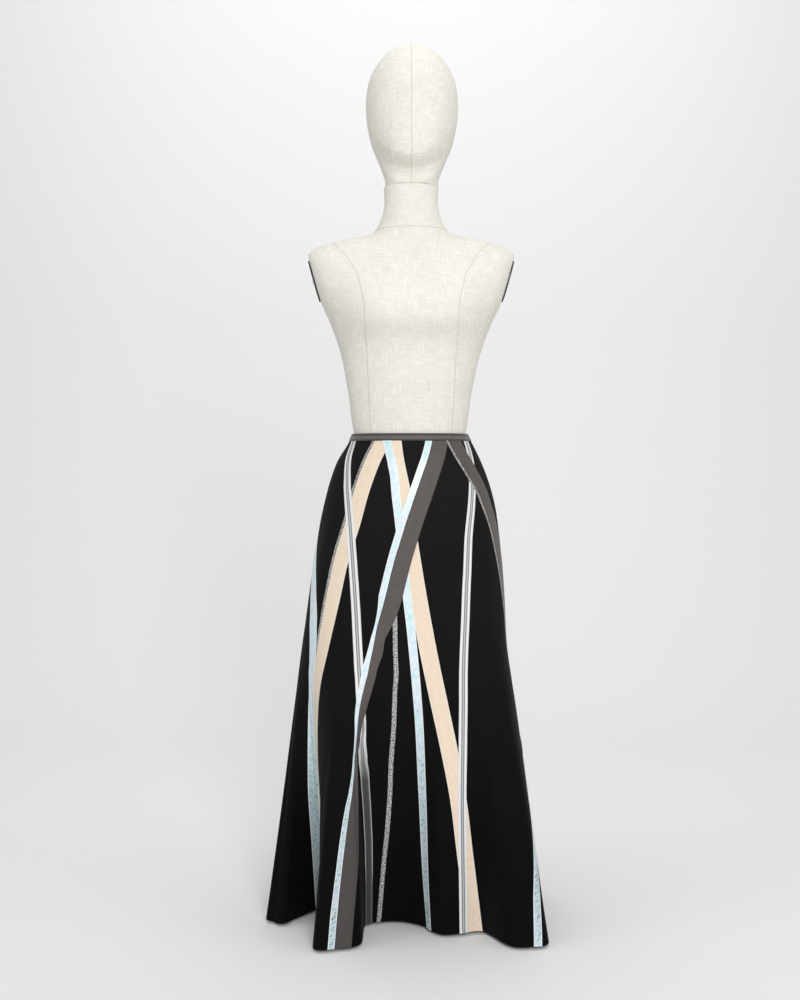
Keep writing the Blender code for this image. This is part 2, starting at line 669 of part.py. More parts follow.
def zip_frame():
    """Frame of the zip at the centre back: X across, Y out from the cloth, Z up along it."""
    above = skirt_points([0.0], ZIP_DROP - SLIDER_ABOVE)[0]
    below = skirt_points([0.0], ZIP_DROP + SLIDER_BELOW)[0]
    up = Vector(above - below).normalized()
    across = Vector((1, 0, 0))
    out = up.cross(across)
    frame = Matrix((across, out, up)).transposed().to_4x4()
    frame.translation = Vector(skirt_points([0.0], ZIP_DROP)[0]) + out * PIN_LIFT
    return frame


def add_slab(shape, x, y, z):
    """A box in a bmesh between pairs of limits."""
    made = bmesh.ops.create_cube(shape, size=1.0)["verts"]
    size = (x[1] - x[0], y[1] - y[0], z[1] - z[0])
    bmesh.ops.scale(shape, vec=size, verts=made)
    middle = ((x[0] + x[1]) / 2, (y[0] + y[1]) / 2, (z[0] + z[1]) / 2)
    bmesh.ops.translate(shape, vec=middle, verts=made)


def join_by_union(made, other):
    """One closed body from two that overlap."""
    tool = made.modifiers.new("union", "BOOLEAN")
    tool.operation = "UNION"
    tool.object = other
    other.hide_render = True
    other.display_type = "WIRE"


def add_slider(finish):
    """The zip's slider: a flat body with two ears and the pin between them."""
    body = bmesh.new()
    foot = SLIDER_LIFT - PIN_LIFT
    add_slab(body, (-SLIDER_WIDTH / 2, SLIDER_WIDTH / 2), (foot, foot + SLIDER_THICK),
             (-SLIDER_BELOW, SLIDER_ABOVE))
    made = add_bmesh("zip_slider", body, finish)
    made.matrix_world = zip_frame()
    for name, side in (("ear right", -1), ("ear left", 1)):
        ear = bmesh.new()
        limits = sorted((side * EAR_INSIDE, side * EAR_OUTSIDE))
        add_slab(ear, limits, (foot + SLIDER_THICK / 2, EAR_REACH), (-EAR_REACH, EAR_REACH))
        helper = add_bmesh(name, ear, finish)
        helper.matrix_world = zip_frame()
        join_by_union(made, helper)
    pin = bmesh.new()
    bmesh.ops.create_cone(pin, cap_ends=True, segments=10, radius1=PIN_RADIUS,
                          radius2=PIN_RADIUS, depth=EAR_INSIDE + EAR_OUTSIDE)
    bmesh.ops.rotate(pin, matrix=Matrix.Rotation(math.pi / 2, 3, "Y"), verts=pin.verts)
    helper = add_bmesh("pin", pin, finish)
    helper.matrix_world = zip_frame()
    join_by_union(made, helper)
    return made


def add_pull(finish):
    """The zip's pull: an eye round the pin and a flat tab that hangs from it."""
    sides = 16
    shape = bmesh.new()
    eye = []
    hole = []
    for k in range(sides):
        turn = 2 * math.pi * k / sides + math.pi / sides
        eye.append((EYE_RADIUS * math.cos(turn), EYE_RADIUS * math.sin(turn)))
        hole.append((EYE_HOLE * math.cos(turn), EYE_HOLE * math.sin(turn)))
    layers = []
    for x in (-EYE_HALF, EYE_HALF):
        layers.append(([shape.verts.new((x, *p)) for p in eye],
                       [shape.verts.new((x, *p)) for p in hole]))
    for k in range(sides):
        n = (k + 1) % sides
        (eye_a, hole_a), (eye_b, hole_b) = layers
        shape.faces.new((eye_a[k], eye_a[n], hole_a[n], hole_a[k]))
        shape.faces.new((eye_b[n], eye_b[k], hole_b[k], hole_b[n]))
        shape.faces.new((eye_a[n], eye_a[k], eye_b[k], eye_b[n]))
        shape.faces.new((hole_a[k], hole_a[n], hole_b[n], hole_b[k]))
    made = add_bmesh("zip_pull", shape, finish)
    tab = bmesh.new()
    side = (
        (EYE_HALF, PULL_OVERLAP - EYE_RADIUS),
        (EYE_HALF, -EYE_RADIUS - PULL_NECK),
        (PULL_HALF, -EYE_RADIUS - PULL_SHOULDER),
        (PULL_HALF, PULL_CORNER - PULL_LONG),
        (PULL_HALF - PULL_CORNER, -PULL_LONG),
    )
    outline = [(-x, z) for x, z in side] + list(reversed(side))
    flat = tab.faces.new([tab.verts.new((x, -PULL_THICK / 2, z)) for x, z in outline])
    raised = bmesh.ops.extrude_face_region(tab, geom=[flat])
    lifted = [g for g in raised["geom"] if isinstance(g, bmesh.types.BMVert)]
    bmesh.ops.translate(tab, vec=(0, PULL_THICK, 0), verts=lifted)
    helper = add_bmesh("tab", tab, finish)
    join_by_union(made, helper)
    frame = zip_frame() @ Matrix.Rotation(math.radians(-PULL_LEAN), 4, "X")
    made.matrix_world = frame
    helper.matrix_world = frame
    return made


# Ribbons: each path's rows are a drop below the waist and degrees from the centre front,
# towards the wearer's left where positive; the sides are metres beside the path
STRIPE_LEFT = ((0.0125, -68.0), (0.05, -58.0), (0.09, -50.6), (0.13, -45.0), (0.20, -39.0),
               (0.29, -34.0), (0.327, -32.2), (0.379, -30.2), (0.431, -28.4), (0.466, -26.4),
               (0.492, -23.7), (0.515, -19.2), (0.540, -14.3), (0.560, -12.0), (0.580, -11.3),
               (0.640, -11.1), (0.877, -10.9))
PEACH_LEFT = ((0.0125, -37.5), (0.10, -43.2), (0.15, -45.7), (0.22, -50.9), (0.295, -54.2),
              (0.345, -56.5), (0.38, -58.4), (0.45, -64.0), (0.52, -67.6), (0.60, -70.0),
              (0.68, -71.0), (0.78, -71.8), (0.877, -72.2))
BLUE_CENTRE = ((0.0125, -19.6), (0.052, -12.1), (0.115, -7.6), (0.285, -0.2), (0.345, 2.3),
               (0.432, 5.0), (0.485, 6.2), (0.63, 7.7), (0.81, 9.1), (0.877, 10.4))
PEACH_CENTRE = ((0.0125, -9.7), (0.10, -0.8), (0.20, 4.7), (0.285, 9.5), (0.362, 14.2),
                (0.45, 19.7), (0.54, 24.5), (0.627, 27.6), (0.735, 29.1), (0.877, 30.8))
CROSSING = ((0.0125, 20.8), (0.07, 8.8), (0.125, 0.2), (0.205, -9.0), (0.292, -16.0),
            (0.337, -19.6), (0.379, -21.7), (0.414, -23.8), (0.449, -25.6), (0.483, -27.1),
            (0.517, -27.8), (0.567, -27.9), (0.600, -29.1), (0.650, -31.0), (0.700, -32.3),
            (0.766, -33.4), (0.820, -33.9), (0.877, -34.2))
TAUPE_RIGHT = ((0.0125, 38.3), (0.04, 41.6), (0.067, 46.3), (0.097, 52.0), (0.135, 57.0),
               (0.17, 62.0), (0.222, 67.0), (0.31, 73.5), (0.40, 81.0), (0.52, 91.0),
               (0.66, 102.0), (0.78, 111.0), (0.877, 117.0))
STRIPE_RIGHT = ((0.0125, 64.7), (0.087, 50.0), (0.16, 41.0), (0.253, 36.1), (0.348, 33.3),
                (0.47, 30.2), (0.645, 25.8), (0.82, 23.8), (0.877, 23.3))
SILVER_CENTRE = ((0.285, -10.2), (0.327, -9.7), (0.379, -8.9), (0.430, -7.7), (0.469, -6.6),
                 (0.506, -5.7), (0.560, -5.1), (0.616, -5.3), (0.690, -6.0), (0.766, -7.0),
                 (0.877, -8.1))
BLUE_SIDE_RIGHT = ((0.0125, -112.0), (0.10, -100.0), (0.20, -85.0), (0.287, -70.0),
                   (0.37, -64.4), (0.45, -67.0), (0.50, -69.6), (0.56, -71.2), (0.617, -72.3),
                   (0.654, -73.0), (0.747, -73.7), (0.82, -74.2), (0.877, -74.6))
BLUE_SIDE_LEFT = ((0.0125, 138.0), (0.20, 131.0), (0.35, 116.0), (0.45, 102.0), (0.55, 87.0),
                  (0.65, 73.0), (0.725, 63.2), (0.78, 59.8), (0.877, 56.5))
STRIPE_BACK = ((0.0125, 152.0), (0.15, 150.0), (0.30, 152.0), (0.50, 157.0), (0.70, 162.0),
               (0.877, 165.0))
TAUPE_BACK = ((0.0125, 112.0), (0.12, 118.0), (0.25, 126.0), (0.40, 134.0), (0.55, 140.0),
              (0.70, 144.0), (0.877, 147.0))
PEACH_BACK = ((0.0125, -136.0), (0.12, -139.0), (0.25, -145.0), (0.40, -151.0),
              (0.55, -158.0), (0.70, -163.0), (0.877, -167.0))
BLUE_BACK = ((0.0125, -158.0), (0.12, -149.0), (0.25, -139.0), (0.40, -128.0),
             (0.55, -118.0), (0.70, -109.0), (0.877, -102.0))

FLAT = ((0.0, 0), (1.0, 0))
OVER_BOTH = ((0.075, 0), (0.090, 2), (0.292, 2), (0.306, 1), (0.592, 1), (0.606, 0))
RIBBON_COLUMNS = ("name", "path", "across", "layers", "finish")
RIBBONS = (
    ("peach_ribbon_left", PEACH_LEFT, (0.0005, 0.030), FLAT, "peach_ribbon"),
    ("silver_edge_left", PEACH_LEFT, (-0.005, -0.0005), FLAT, "silver_braid"),
    ("peach_ribbon_centre", PEACH_CENTRE, (-0.030, 0.0),
     ((0.036, 1), (0.050, 0)), "peach_ribbon"),
    ("silver_ribbon_centre", SILVER_CENTRE, (-0.004, 0.004), FLAT, "silver_braid"),
    ("stripe_tape_left", STRIPE_LEFT, (-0.008, 0.008),
     ((0.080, 0), (0.094, 1), (0.250, 1), (0.264, 0)), "stripe_tape"),
    ("blue_ribbon_centre", BLUE_CENTRE, (-0.015, 0.0),
     ((0.036, 2), (0.050, 1), (0.358, 1), (0.372, 0)), "aqua_satin"),
    ("stripe_tape_right", STRIPE_RIGHT, (-0.0078, 0.0078),
     ((0.530, 0), (0.545, 1)), "stripe_tape"),
    ("taupe_ribbon_crossing", CROSSING, (0.0003, 0.029), OVER_BOTH, "taupe_ribbon"),
    ("blue_ribbon_crossing", CROSSING, (-0.012, -0.0003), OVER_BOTH, "aqua_satin"),
    ("taupe_ribbon_right", TAUPE_RIGHT, (0.0003, 0.028),
     ((0.110, 1), (0.124, 0)), "taupe_ribbon"),
    ("silver_edge_right", TAUPE_RIGHT, (-0.005, -0.0003),
     ((0.110, 1), (0.124, 0)), "silver_braid"),
    ("blue_ribbon_left", BLUE_SIDE_RIGHT, (-0.015, 0.015),
     ((0.330, 0), (0.345, 1)), "aqua_satin"),
    ("blue_ribbon_right", BLUE_SIDE_LEFT, (-0.007, 0.007),
     ((0.390, 0), (0.405, 1), (0.640, 1), (0.655, 0)), "aqua_satin"),
    ("stripe_tape_back", STRIPE_BACK, (-0.008, 0.008), FLAT, "stripe_tape"),
    ("taupe_ribbon_back", TAUPE_BACK, (-0.0145, 0.0145),
     ((0.120, 0), (0.135, 1), (0.370, 1), (0.385, 0)), "taupe_ribbon"),
    ("peach_ribbon_back", PEACH_BACK, (-0.015, 0.015), FLAT, "peach_ribbon"),
    ("blue_ribbon_back", BLUE_BACK, (-0.0065, 0.0065),
     ((0.105, 0), (0.120, 1), (0.290, 1), (0.305, 0)), "aqua_satin"),
)

made_finishes = {name: material(name) for name in FINISHES}
crepe = made_finishes["black_crepe"]
add_panel("skirt_back_right", 0.0, SIDE_SEAM_SHARE[0], crepe)
add_panel("skirt_front", *SIDE_SEAM_SHARE, crepe)
add_panel("skirt_back_left", SIDE_SEAM_SHARE[1], 1.0, crepe)
add_binding("waist_binding", made_finishes["binding_grosgrain"])
for row in RIBBONS:
    ribbon = dict(zip(RIBBON_COLUMNS, row))
    ribbon["finish"] = made_finishes[ribbon["finish"]]
    add_ribbon(**ribbon)

add_form_torso(made_finishes["cream_linen"])
add_bmesh("form_head", loft(HEAD_SECTIONS, HEAD_COLUMNS), made_finishes["cream_linen"],
          smooth_angle=35)
add_arm_plate("arm_plate_right", -1, made_finishes["dark_metal"])
add_arm_plate("arm_plate_left", 1, made_finishes["dark_metal"])
add_cylinder("stand_pole", POLE_RADIUS, BASE_THICK + GAP, FORM_SECTIONS[0][0] - GAP, 24,
             made_finishes["steel_stand"])
add_cylinder("stand_base", BASE_RADIUS, 0.0, BASE_THICK, 48, made_finishes["steel_stand"])
add_slider(made_finishes["dark_metal"])
add_pull(made_finishes["dark_metal"])
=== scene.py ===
import math

import bpy
import numpy as np
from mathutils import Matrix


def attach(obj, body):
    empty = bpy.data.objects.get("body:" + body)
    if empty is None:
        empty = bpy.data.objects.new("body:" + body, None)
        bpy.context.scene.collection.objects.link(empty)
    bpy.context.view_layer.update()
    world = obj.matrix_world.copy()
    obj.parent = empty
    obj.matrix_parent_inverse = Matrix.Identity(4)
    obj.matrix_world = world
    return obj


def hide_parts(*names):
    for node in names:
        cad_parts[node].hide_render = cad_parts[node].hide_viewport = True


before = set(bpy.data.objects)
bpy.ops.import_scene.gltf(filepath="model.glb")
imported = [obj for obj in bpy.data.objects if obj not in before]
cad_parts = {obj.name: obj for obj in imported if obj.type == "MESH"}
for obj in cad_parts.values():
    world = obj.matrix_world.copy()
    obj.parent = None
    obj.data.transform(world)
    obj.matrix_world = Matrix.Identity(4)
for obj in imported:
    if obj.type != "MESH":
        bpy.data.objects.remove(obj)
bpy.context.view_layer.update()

for cad_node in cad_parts.values():
    cad_node.select_set(False)    # the smoothing below works on what is selected

# Studio
# The camera stands 2.2 m in front of the form at hip height and looks slightly down. The
# floor runs up into a pale wall behind, lit evenly, with a soft light on either side.

CAMERA_PLACE = (-0.0204, -2.245, 0.843)
CAMERA_TILT = 87.9                # degrees from straight down
FRAME_HEIGHT = 36.0               # mm, as is the focal length
FOCAL_LENGTH = 42.8


def placed(name, data):
    """An object in the scene for a camera, a light or a mesh."""
    made = bpy.data.objects.new(name, data)
    bpy.context.scene.collection.objects.link(made)
    return made


def plain_finish(name, roughness):
    """A Principled material, with its tree and its shader."""
    made = bpy.data.materials.new(name)
    made.use_nodes = True
    shader = made.node_tree.nodes["Principled BSDF"]
    shader.inputs["Roughness"].default_value = roughness
    return made, made.node_tree, shader


camera_data = bpy.data.cameras.new("camera")
camera_data.sensor_fit = "VERTICAL"
camera_data.sensor_height = FRAME_HEIGHT
camera_data.lens = FOCAL_LENGTH
camera = placed("camera", camera_data)
camera.location = CAMERA_PLACE
camera.rotation_euler = (math.radians(CAMERA_TILT), 0.0, 0.0)
bpy.context.scene.camera = camera

FLOOR_FRONT = -5.0
WALL_DISTANCE = 2.6
WALL_CURVE = 1.4
CURVE_STEPS = 16
STAGE_HALF = 6.0
STAGE_HIGH = 5.0
PAPER_COLOUR = (0.86, 0.86, 0.86, 1.0)
ROOM_LIGHT = 0.36

stage_profile = [(FLOOR_FRONT, 0.0), (WALL_DISTANCE - WALL_CURVE, 0.0)]
for step in range(1, CURVE_STEPS + 1):
    turn = math.pi / 2 * step / CURVE_STEPS
    stage_profile.append((WALL_DISTANCE - WALL_CURVE + WALL_CURVE * math.sin(turn),
                          WALL_CURVE * (1 - math.cos(turn))))
stage_profile.append((WALL_DISTANCE, STAGE_HIGH))
stage_points = [(side * STAGE_HALF, y, z) for y, z in stage_profile for side in (-1, 1)]
stage_faces = [(k, k + 1, k + 3, k + 2) for k in range(0, 2 * len(stage_profile) - 2, 2)]
stage_mesh = bpy.data.meshes.new("studio_floor")
stage_mesh.from_pydata(stage_points, [], stage_faces)
stage_mesh.shade_smooth()
studio_floor = placed("studio_floor", stage_mesh)
paper, _, paper_shader = plain_finish("studio_paper", 0.95)
paper_shader.inputs["Base Color"].default_value = PAPER_COLOUR
paper_shader.inputs["Specular IOR Level"].default_value = 0.0
stage_mesh.materials.append(paper)

world = bpy.data.worlds.new("studio_light")
world.use_nodes = True
world.node_tree.nodes["Background"].inputs["Color"].default_value = (1.0, 1.0, 1.0, 1.0)
world.node_tree.nodes["Background"].inputs["Strength"].default_value = ROOM_LIGHT
bpy.context.scene.world = world
bpy.context.scene.view_settings.view_transform = "Standard"


def soft_light(name, place, target, size, power, colour):
    """A square area light that faces a point."""
    data = bpy.data.lights.new(name, "AREA")
    data.shape = "SQUARE"
    data.size = size
    data.energy = power
    data.color = colour
    made = placed(name, data)
    made.location = place
    heading = np.array(target) - np.array(place)
    made.rotation_euler = (math.acos(-heading[2] / np.linalg.norm(heading)), 0.0,
                           math.atan2(heading[1], heading[0]) - math.pi / 2)


FORM_MIDDLE = (0.0, 0.0, 0.9)
soft_light("front_light", (0.5, -3.6, 2.1), FORM_MIDDLE, 1.6, 84.0, (1.0, 0.99, 0.985))
soft_light("left_light", (-3.0, -1.2, 1.8), FORM_MIDDLE, 1.6, 9.0, (0.93, 1.0, 0.97))
soft_light("right_light", (3.0, -1.2, 1.6), FORM_MIDDLE, 1.6, 8.0, (1.0, 0.92, 0.85))
soft_light("wall_light", (0.0, 0.6, 3.6), (0.0, WALL_DISTANCE, 0.9), 3.0, 44.0, (1.0, 1.0, 1.0))


# Skirt
# Three panels of matte black crepe, a front and two backs, cut narrow at the waist and wide
# at the hem, so that the cloth hangs flat over the hips and falls into deep folds below.

WAIST_Z = 0.883
HEM_Z = 0.006
SKIRT_DROP = WAIST_Z - HEM_Z
BODY_Y = -0.045                   # the body's axis, in front of the stand's axis
CLOTH = 0.0011                    # the wall's thickness

SECTION_COLUMNS = ("height", "right", "left", "front", "back", "square")
SECTIONS = (
    (0.883, 0.1090, 0.1045, 0.0880, 0.0880, 2.00),
    (0.871, 0.1140, 0.1108, 0.0920, 0.0940, 2.02),
    (0.836, 0.1350, 0.1280, 0.1050, 0.1110, 2.10),
    (0.799, 0.1490, 0.1425, 0.1130, 0.1240, 2.15),
    (0.762, 0.1590, 0.1530, 0.1180, 0.1340, 2.20),
    (0.688, 0.1740, 0.1640, 0.1230, 0.1430, 2.30),
    (0.577, 0.1905, 0.1725, 0.1270, 0.1480, 2.45),
    (0.490, 0.2030, 0.1765, 0.1290, 0.1520, 2.50),
    (0.392, 0.2110, 0.1900, 0.1300, 0.1560, 2.50),
    (0.200, 0.2240, 0.2150, 0.1320, 0.1660, 2.50),
    (0.006, 0.2370, 0.2320, 0.1320, 0.1760, 2.50),
)
FOLD_COLUMNS = ("name", "crest_x", "crest_y", "crest_w", "crest_way",
                "trough_x", "trough_y", "trough_w", "trough_way", "top")
FOLDS = (
    ("back right", -0.080, 0.212, 0.038, 110, -0.150, 0.150, 0.022, 130, 0.50),
    ("side right", -0.222, 0.128, 0.032, 150, -0.222, 0.045, 0.024, 185, 0.55),
    ("corner right", -0.249, -0.087, 0.022, 235, -0.152, -0.030, 0.016, 215, 0.60),
    ("front tube", -0.130, -0.206, 0.038, 280, -0.026, -0.090, 0.044, 270, 0.58),
    ("front swell", 0.064, -0.147, 0.026, 265, 0.118, -0.131, 0.014, 262, 0.45),
    ("corner left", 0.205, -0.199, 0.035, 283, 0.220, -0.035, 0.028, 355, 0.50),
    ("side left", 0.238, 0.075, 0.034, 20, 0.165, 0.125, 0.024, 40, 0.55),
    ("back left", 0.090, 0.208, 0.036, 68, 0.000, 0.172, 0.030, 90, 0.50),
)
FOLD_ROUND = 0.35                 # how far a crest's sides stand back, for its half width
FOLD_GROWTH = 1.25                # above 1, a fold grows faster towards the hem

# The steep flank to the wearer's left of the front tube: the sideways places of its edge
# on the crest and its edge in the valley, before and after the cloth is drawn in
FLANK_COLUMNS = ("height", "crest_from", "valley_from", "crest_to", "valley_to")
FLANK = (
    (0.460, -0.103, -0.048, -0.103, -0.048),
    (0.400, -0.103, -0.051, -0.1015, -0.070),
    (0.360, -0.103, -0.050, -0.1005, -0.081),
    (0.320, -0.103, -0.052, -0.1020, -0.0950),
    (0.300, -0.102, -0.052, -0.1020, -0.0955),
    (0.280, -0.101, -0.053, -0.1020, -0.0935),
    (0.240, -0.100, -0.055, -0.1000, -0.0890),
    (0.160, -0.098, -0.060, -0.0940, -0.0850),
    (0.100, -0.097, -0.063, -0.0910, -0.0830),
    (0.006, -0.095, -0.069, -0.0855, -0.0835),
)
FLANK_ENDS = (-0.165, -0.005)             # beyond these nothing moves
FLANK_SHARES = (0.30, 0.55)               # the stretch round the skirt that it lies in
FLANK_ROUNDING = (-0.005, -0.0025, 0.0, 0.0025, 0.005)    # shifts that are averaged

# Soft creases: where each starts and ends in degrees from the centre front,
# towards the wearer's left, its half width and height, and the drops between which it runs
CREASE_COLUMNS = ("name", "top_turn", "low_turn", "half", "height", "first", "last")
CREASES = (
    ("tube face, right", -58.0, -62.0, 0.010, -0.0016, 0.46, 0.86),
    ("tube face, middle", -50.0, -54.0, 0.008, 0.0012, 0.50, 0.86),
    ("tube face, left", -41.0, -47.0, 0.009, -0.0012, 0.44, 0.80),
    ("front trough", -6.0, -4.0, 0.022, -0.0040, 0.40, 0.877),
    ("front swell edge", 14.0, 15.5, 0.010, 0.0022, 0.50, 0.877),
    ("hip front right", -30.0, -34.0, 0.030, -0.0016, 0.06, 0.34),
    ("hip front left", 22.0, 19.0, 0.034, -0.0018, 0.08, 0.40),
    ("ridge of the left face", 43.0, 44.0, 0.009, 0.0030, 0.46, 0.84),
    ("left face, soft", 33.0, 35.0, 0.020, -0.0024, 0.40, 0.86),
    ("left hip", 66.0, 60.0, 0.024, -0.0020, 0.10, 0.42),
    ("left side", 82.0, 84.0, 0.014, 0.0026, 0.30, 0.877),
    ("left side, back", 104.0, 108.0, 0.016, -0.0030, 0.34, 0.877),
    ("right hip", -74.0, -72.0, 0.024, -0.0018, 0.10, 0.36),
    ("right corner", -88.0, -90.0, 0.012, 0.0024, 0.44, 0.877),
    ("right side", -106.0, -110.0, 0.016, -0.0030, 0.34, 0.877),
    ("back right, outer", -134.0, -130.0, 0.016, 0.0028, 0.36, 0.877),
    ("back right, inner", -156.0, -152.0, 0.018, -0.0032, 0.32, 0.877),
    ("back left, inner", 154.0, 158.0, 0.018, -0.0030, 0.34, 0.877),
    ("back left, outer", 134.0, 136.0, 0.014, 0.0026, 0.38, 0.877),
)
CREASE_FADE_IN = 0.4              # shares of a crease's run
CREASE_FADE_OUT = 0.3
CREASE_ROWS = [dict(zip(CREASE_COLUMNS, row)) for row in CREASES]


def smooth_between(xs, ys, x):
    """Value at x of the smooth line through the points xs, ys."""
    xs = np.asarray(xs, float)
    ys = np.asarray(ys, float)
    slopes = np.gradient(ys, xs)
    x = np.clip(x, xs[0], xs[-1])
    k = np.clip(np.searchsorted(xs, x) - 1, 0, len(xs) - 2)
    step = xs[k + 1] - xs[k]
    s = (x - xs[k]) / step
    start = (1 + 2 * s) * (1 - s) ** 2 * ys[k] + s * (1 - s) ** 2 * step * slopes[k]
    end = s * s * (3 - 2 * s) * ys[k + 1] + s * s * (s - 1) * step * slopes[k + 1]
    return start + end


def ease(x):
    """0 below 0, 1 above 1, and a smooth rise between."""
    x = np.clip(x, 0.0, 1.0)
    return x * x * (3 - 2 * x)


def round_tip(x, y, half_width, way, sign):
    """Three points that round off a crest, sign 1, or a trough, sign -1."""
    tip = np.array([x, y])
    facing = np.array([math.cos(math.radians(way)), math.sin(math.radians(way))])
    aside = np.array([-facing[1], facing[0]]) * half_width
    back = facing * half_width * FOLD_ROUND * sign
    return [tip - aside - back, tip, tip + aside - back]


def hem_outline(steps=40):
    """The folded hem as a closed line of points, from the rows of FOLDS."""
    marks = []
    for row in FOLDS:
        marks += round_tip(*row[1:5], 1)
        marks += round_tip(*row[5:9], -1)
    count = len(marks)
    line = []
    for k in range(count):
        p = [marks[(k + shift) % count] for shift in (-1, 0, 1, 2)]
        for s in np.arange(steps) / steps:
            line.append(0.5 * (2 * p[1] + (p[2] - p[0]) * s
                               + (2 * p[0] - 5 * p[1] + 4 * p[2] - p[3]) * s * s
                               + (3 * p[1] - p[0] - 3 * p[2] + p[3]) * s ** 3))
    return np.array(line)


def halves(line):
    """A closed line split where it crosses X = 0, at the back and then at the front."""
    back = np.argmin(np.abs(line[:, 0]) + np.where(line[:, 1] > 0, 0, 1))
    line = np.roll(line, -back, axis=0)
    line = np.vstack([line, line[:1]])
    front = np.argmin(np.abs(line[:, 0]) + np.where(line[:, 1] < 0, 0, 1))
    return line[:front + 1], line[front:]


def along(line, shares):
    """Points of an open line at shares of its length."""
    steps = np.linalg.norm(np.diff(line, axis=0), axis=1)
    run = np.concatenate([[0], np.cumsum(steps)]) / steps.sum()
    return np.column_stack([np.interp(shares, run, line[:, k]) for k in (0, 1)])


def round_the_body(line, shares):
    """Points of a closed line, by share: 0 centre back, 0.5 centre front, 1 centre back."""
    shares = np.asarray(shares, float) % 1.0
    right, left = halves(line)
    return np.where((shares < 0.5)[:, None], along(right, shares * 2), along(left, shares * 2 - 1))


def oval_outline(sections, height, steps=720):
    """A section worked out from a table of sections, as a closed line from the centre back."""
    table = np.array(sections)
    table = table[np.argsort(table[:, 0])]
    size = dict(zip(SECTION_COLUMNS[1:],
                    (smooth_between(table[:, 0], table[:, k], height) for k in range(1, 6))))
    angle = np.linspace(0, 2 * math.pi, steps, endpoint=False)
    side = np.where(np.sin(angle) > 0, size["right"], size["left"])
    depth = np.where(np.cos(angle) > 0, size["back"], size["front"])
    bow = 2 / size["square"]
    across = np.sign(np.sin(angle)) * np.abs(np.sin(angle)) ** bow
    deep = np.sign(np.cos(angle)) * np.abs(np.cos(angle)) ** bow
    return np.column_stack([-side * across, depth * deep])


HEM_LINE = hem_outline()
FOLD_TOPS = [row[FOLD_COLUMNS.index("top")] for row in FOLDS]


def fold_top(shares):
    """Height at which the folds have faded out, round the skirt."""
    middles = (np.arange(len(FOLDS)) + 0.5) / len(FOLDS)
    return np.interp(np.asarray(shares) % 1.0, middles, FOLD_TOPS, period=1.0)


def draw_in_flank(flat, shares, height):
    """Move points of the front sideways, so that the tube's flank stands steep."""
    table = np.array(FLANK)[::-1]
    edge = {name: np.interp(height, table[:, 0], table[:, k + 1])
            for k, name in enumerate(FLANK_COLUMNS[1:])}
    places = (FLANK_ENDS[0], edge["crest_from"], edge["valley_from"], FLANK_ENDS[1])
    moves = (0.0, edge["crest_to"] - edge["crest_from"],
             edge["valley_to"] - edge["valley_from"], 0.0)
    move = np.mean([np.interp(flat[:, 0] + shift, places, moves) for shift in FLANK_ROUNDING],
                   axis=0)
    inside = (shares % 1.0 > FLANK_SHARES[0]) & (shares % 1.0 < FLANK_SHARES[1])
    flat[:, 0] += move * inside


def skirt_row(shares, drop):
    """Outer points of the skirt at one drop below its upper edge."""
    height = WAIST_Z - drop
    plain = round_the_body(oval_outline(SECTIONS, height), shares)
    plain_hem = round_the_body(oval_outline(SECTIONS, HEM_Z), shares)
    folded = round_the_body(HEM_LINE, shares) - plain_hem
    top = fold_top(shares)
    growth = np.clip((top - height) / (top - HEM_Z), 0, 1) ** FOLD_GROWTH
    flat = plain + folded * growth[:, None]
    draw_in_flank(flat, shares, height)
    tangent = np.gradient(flat, axis=0)
    tangent /= np.linalg.norm(tangent, axis=1)[:, None]
    outward = np.column_stack([tangent[:, 1], -tangent[:, 0]])
    girth = np.linalg.norm(np.diff(flat, axis=0), axis=1).sum()
    bulge = np.zeros(len(shares))
    for crease in CREASE_ROWS:
        run = (drop - crease["first"]) / (crease["last"] - crease["first"])
        turn = crease["top_turn"] + (crease["low_turn"] - crease["top_turn"]) * run
        away = (shares - 0.5 - turn / 360) * girth
        fade = ease(run / CREASE_FADE_IN)
        if crease["last"] < SKIRT_DROP:
            fade = fade * ease((1 - run) / CREASE_FADE_OUT)
        bulge += crease["height"] * fade * np.exp(-(away / crease["half"]) ** 2)
    flat += outward * bulge[:, None]
    return np.column_stack([flat[:, 0], flat[:, 1] + BODY_Y, np.full(len(shares), height)])


# The outer face of the skirt as a fine grid, from which all cloth on it is worked out
FINE_COLUMNS = 1201
FINE_ROWS = 441
FINE_SHARES = np.linspace(0.0, 1.0, FINE_COLUMNS)
FINE_DROPS = np.linspace(0.0, SKIRT_DROP, FINE_ROWS)
FINE_POINTS = np.array([skirt_row(FINE_SHARES, drop) for drop in FINE_DROPS])
fine_across = np.gradient(FINE_POINTS, axis=1)
fine_across[:, 0] = fine_across[:, -1] = (fine_across[:, 1] + fine_across[:, -2]) / 2
fine_normals = np.cross(np.gradient(FINE_POINTS, axis=0), fine_across)
FINE_NORMALS = fine_normals / np.linalg.norm(fine_normals, axis=2)[:, :, None]
fine_steps = np.linalg.norm(np.diff(FINE_POINTS, axis=1), axis=2)
FINE_LENGTHS = np.column_stack([np.zeros(FINE_ROWS), np.cumsum(fine_steps, axis=1)])


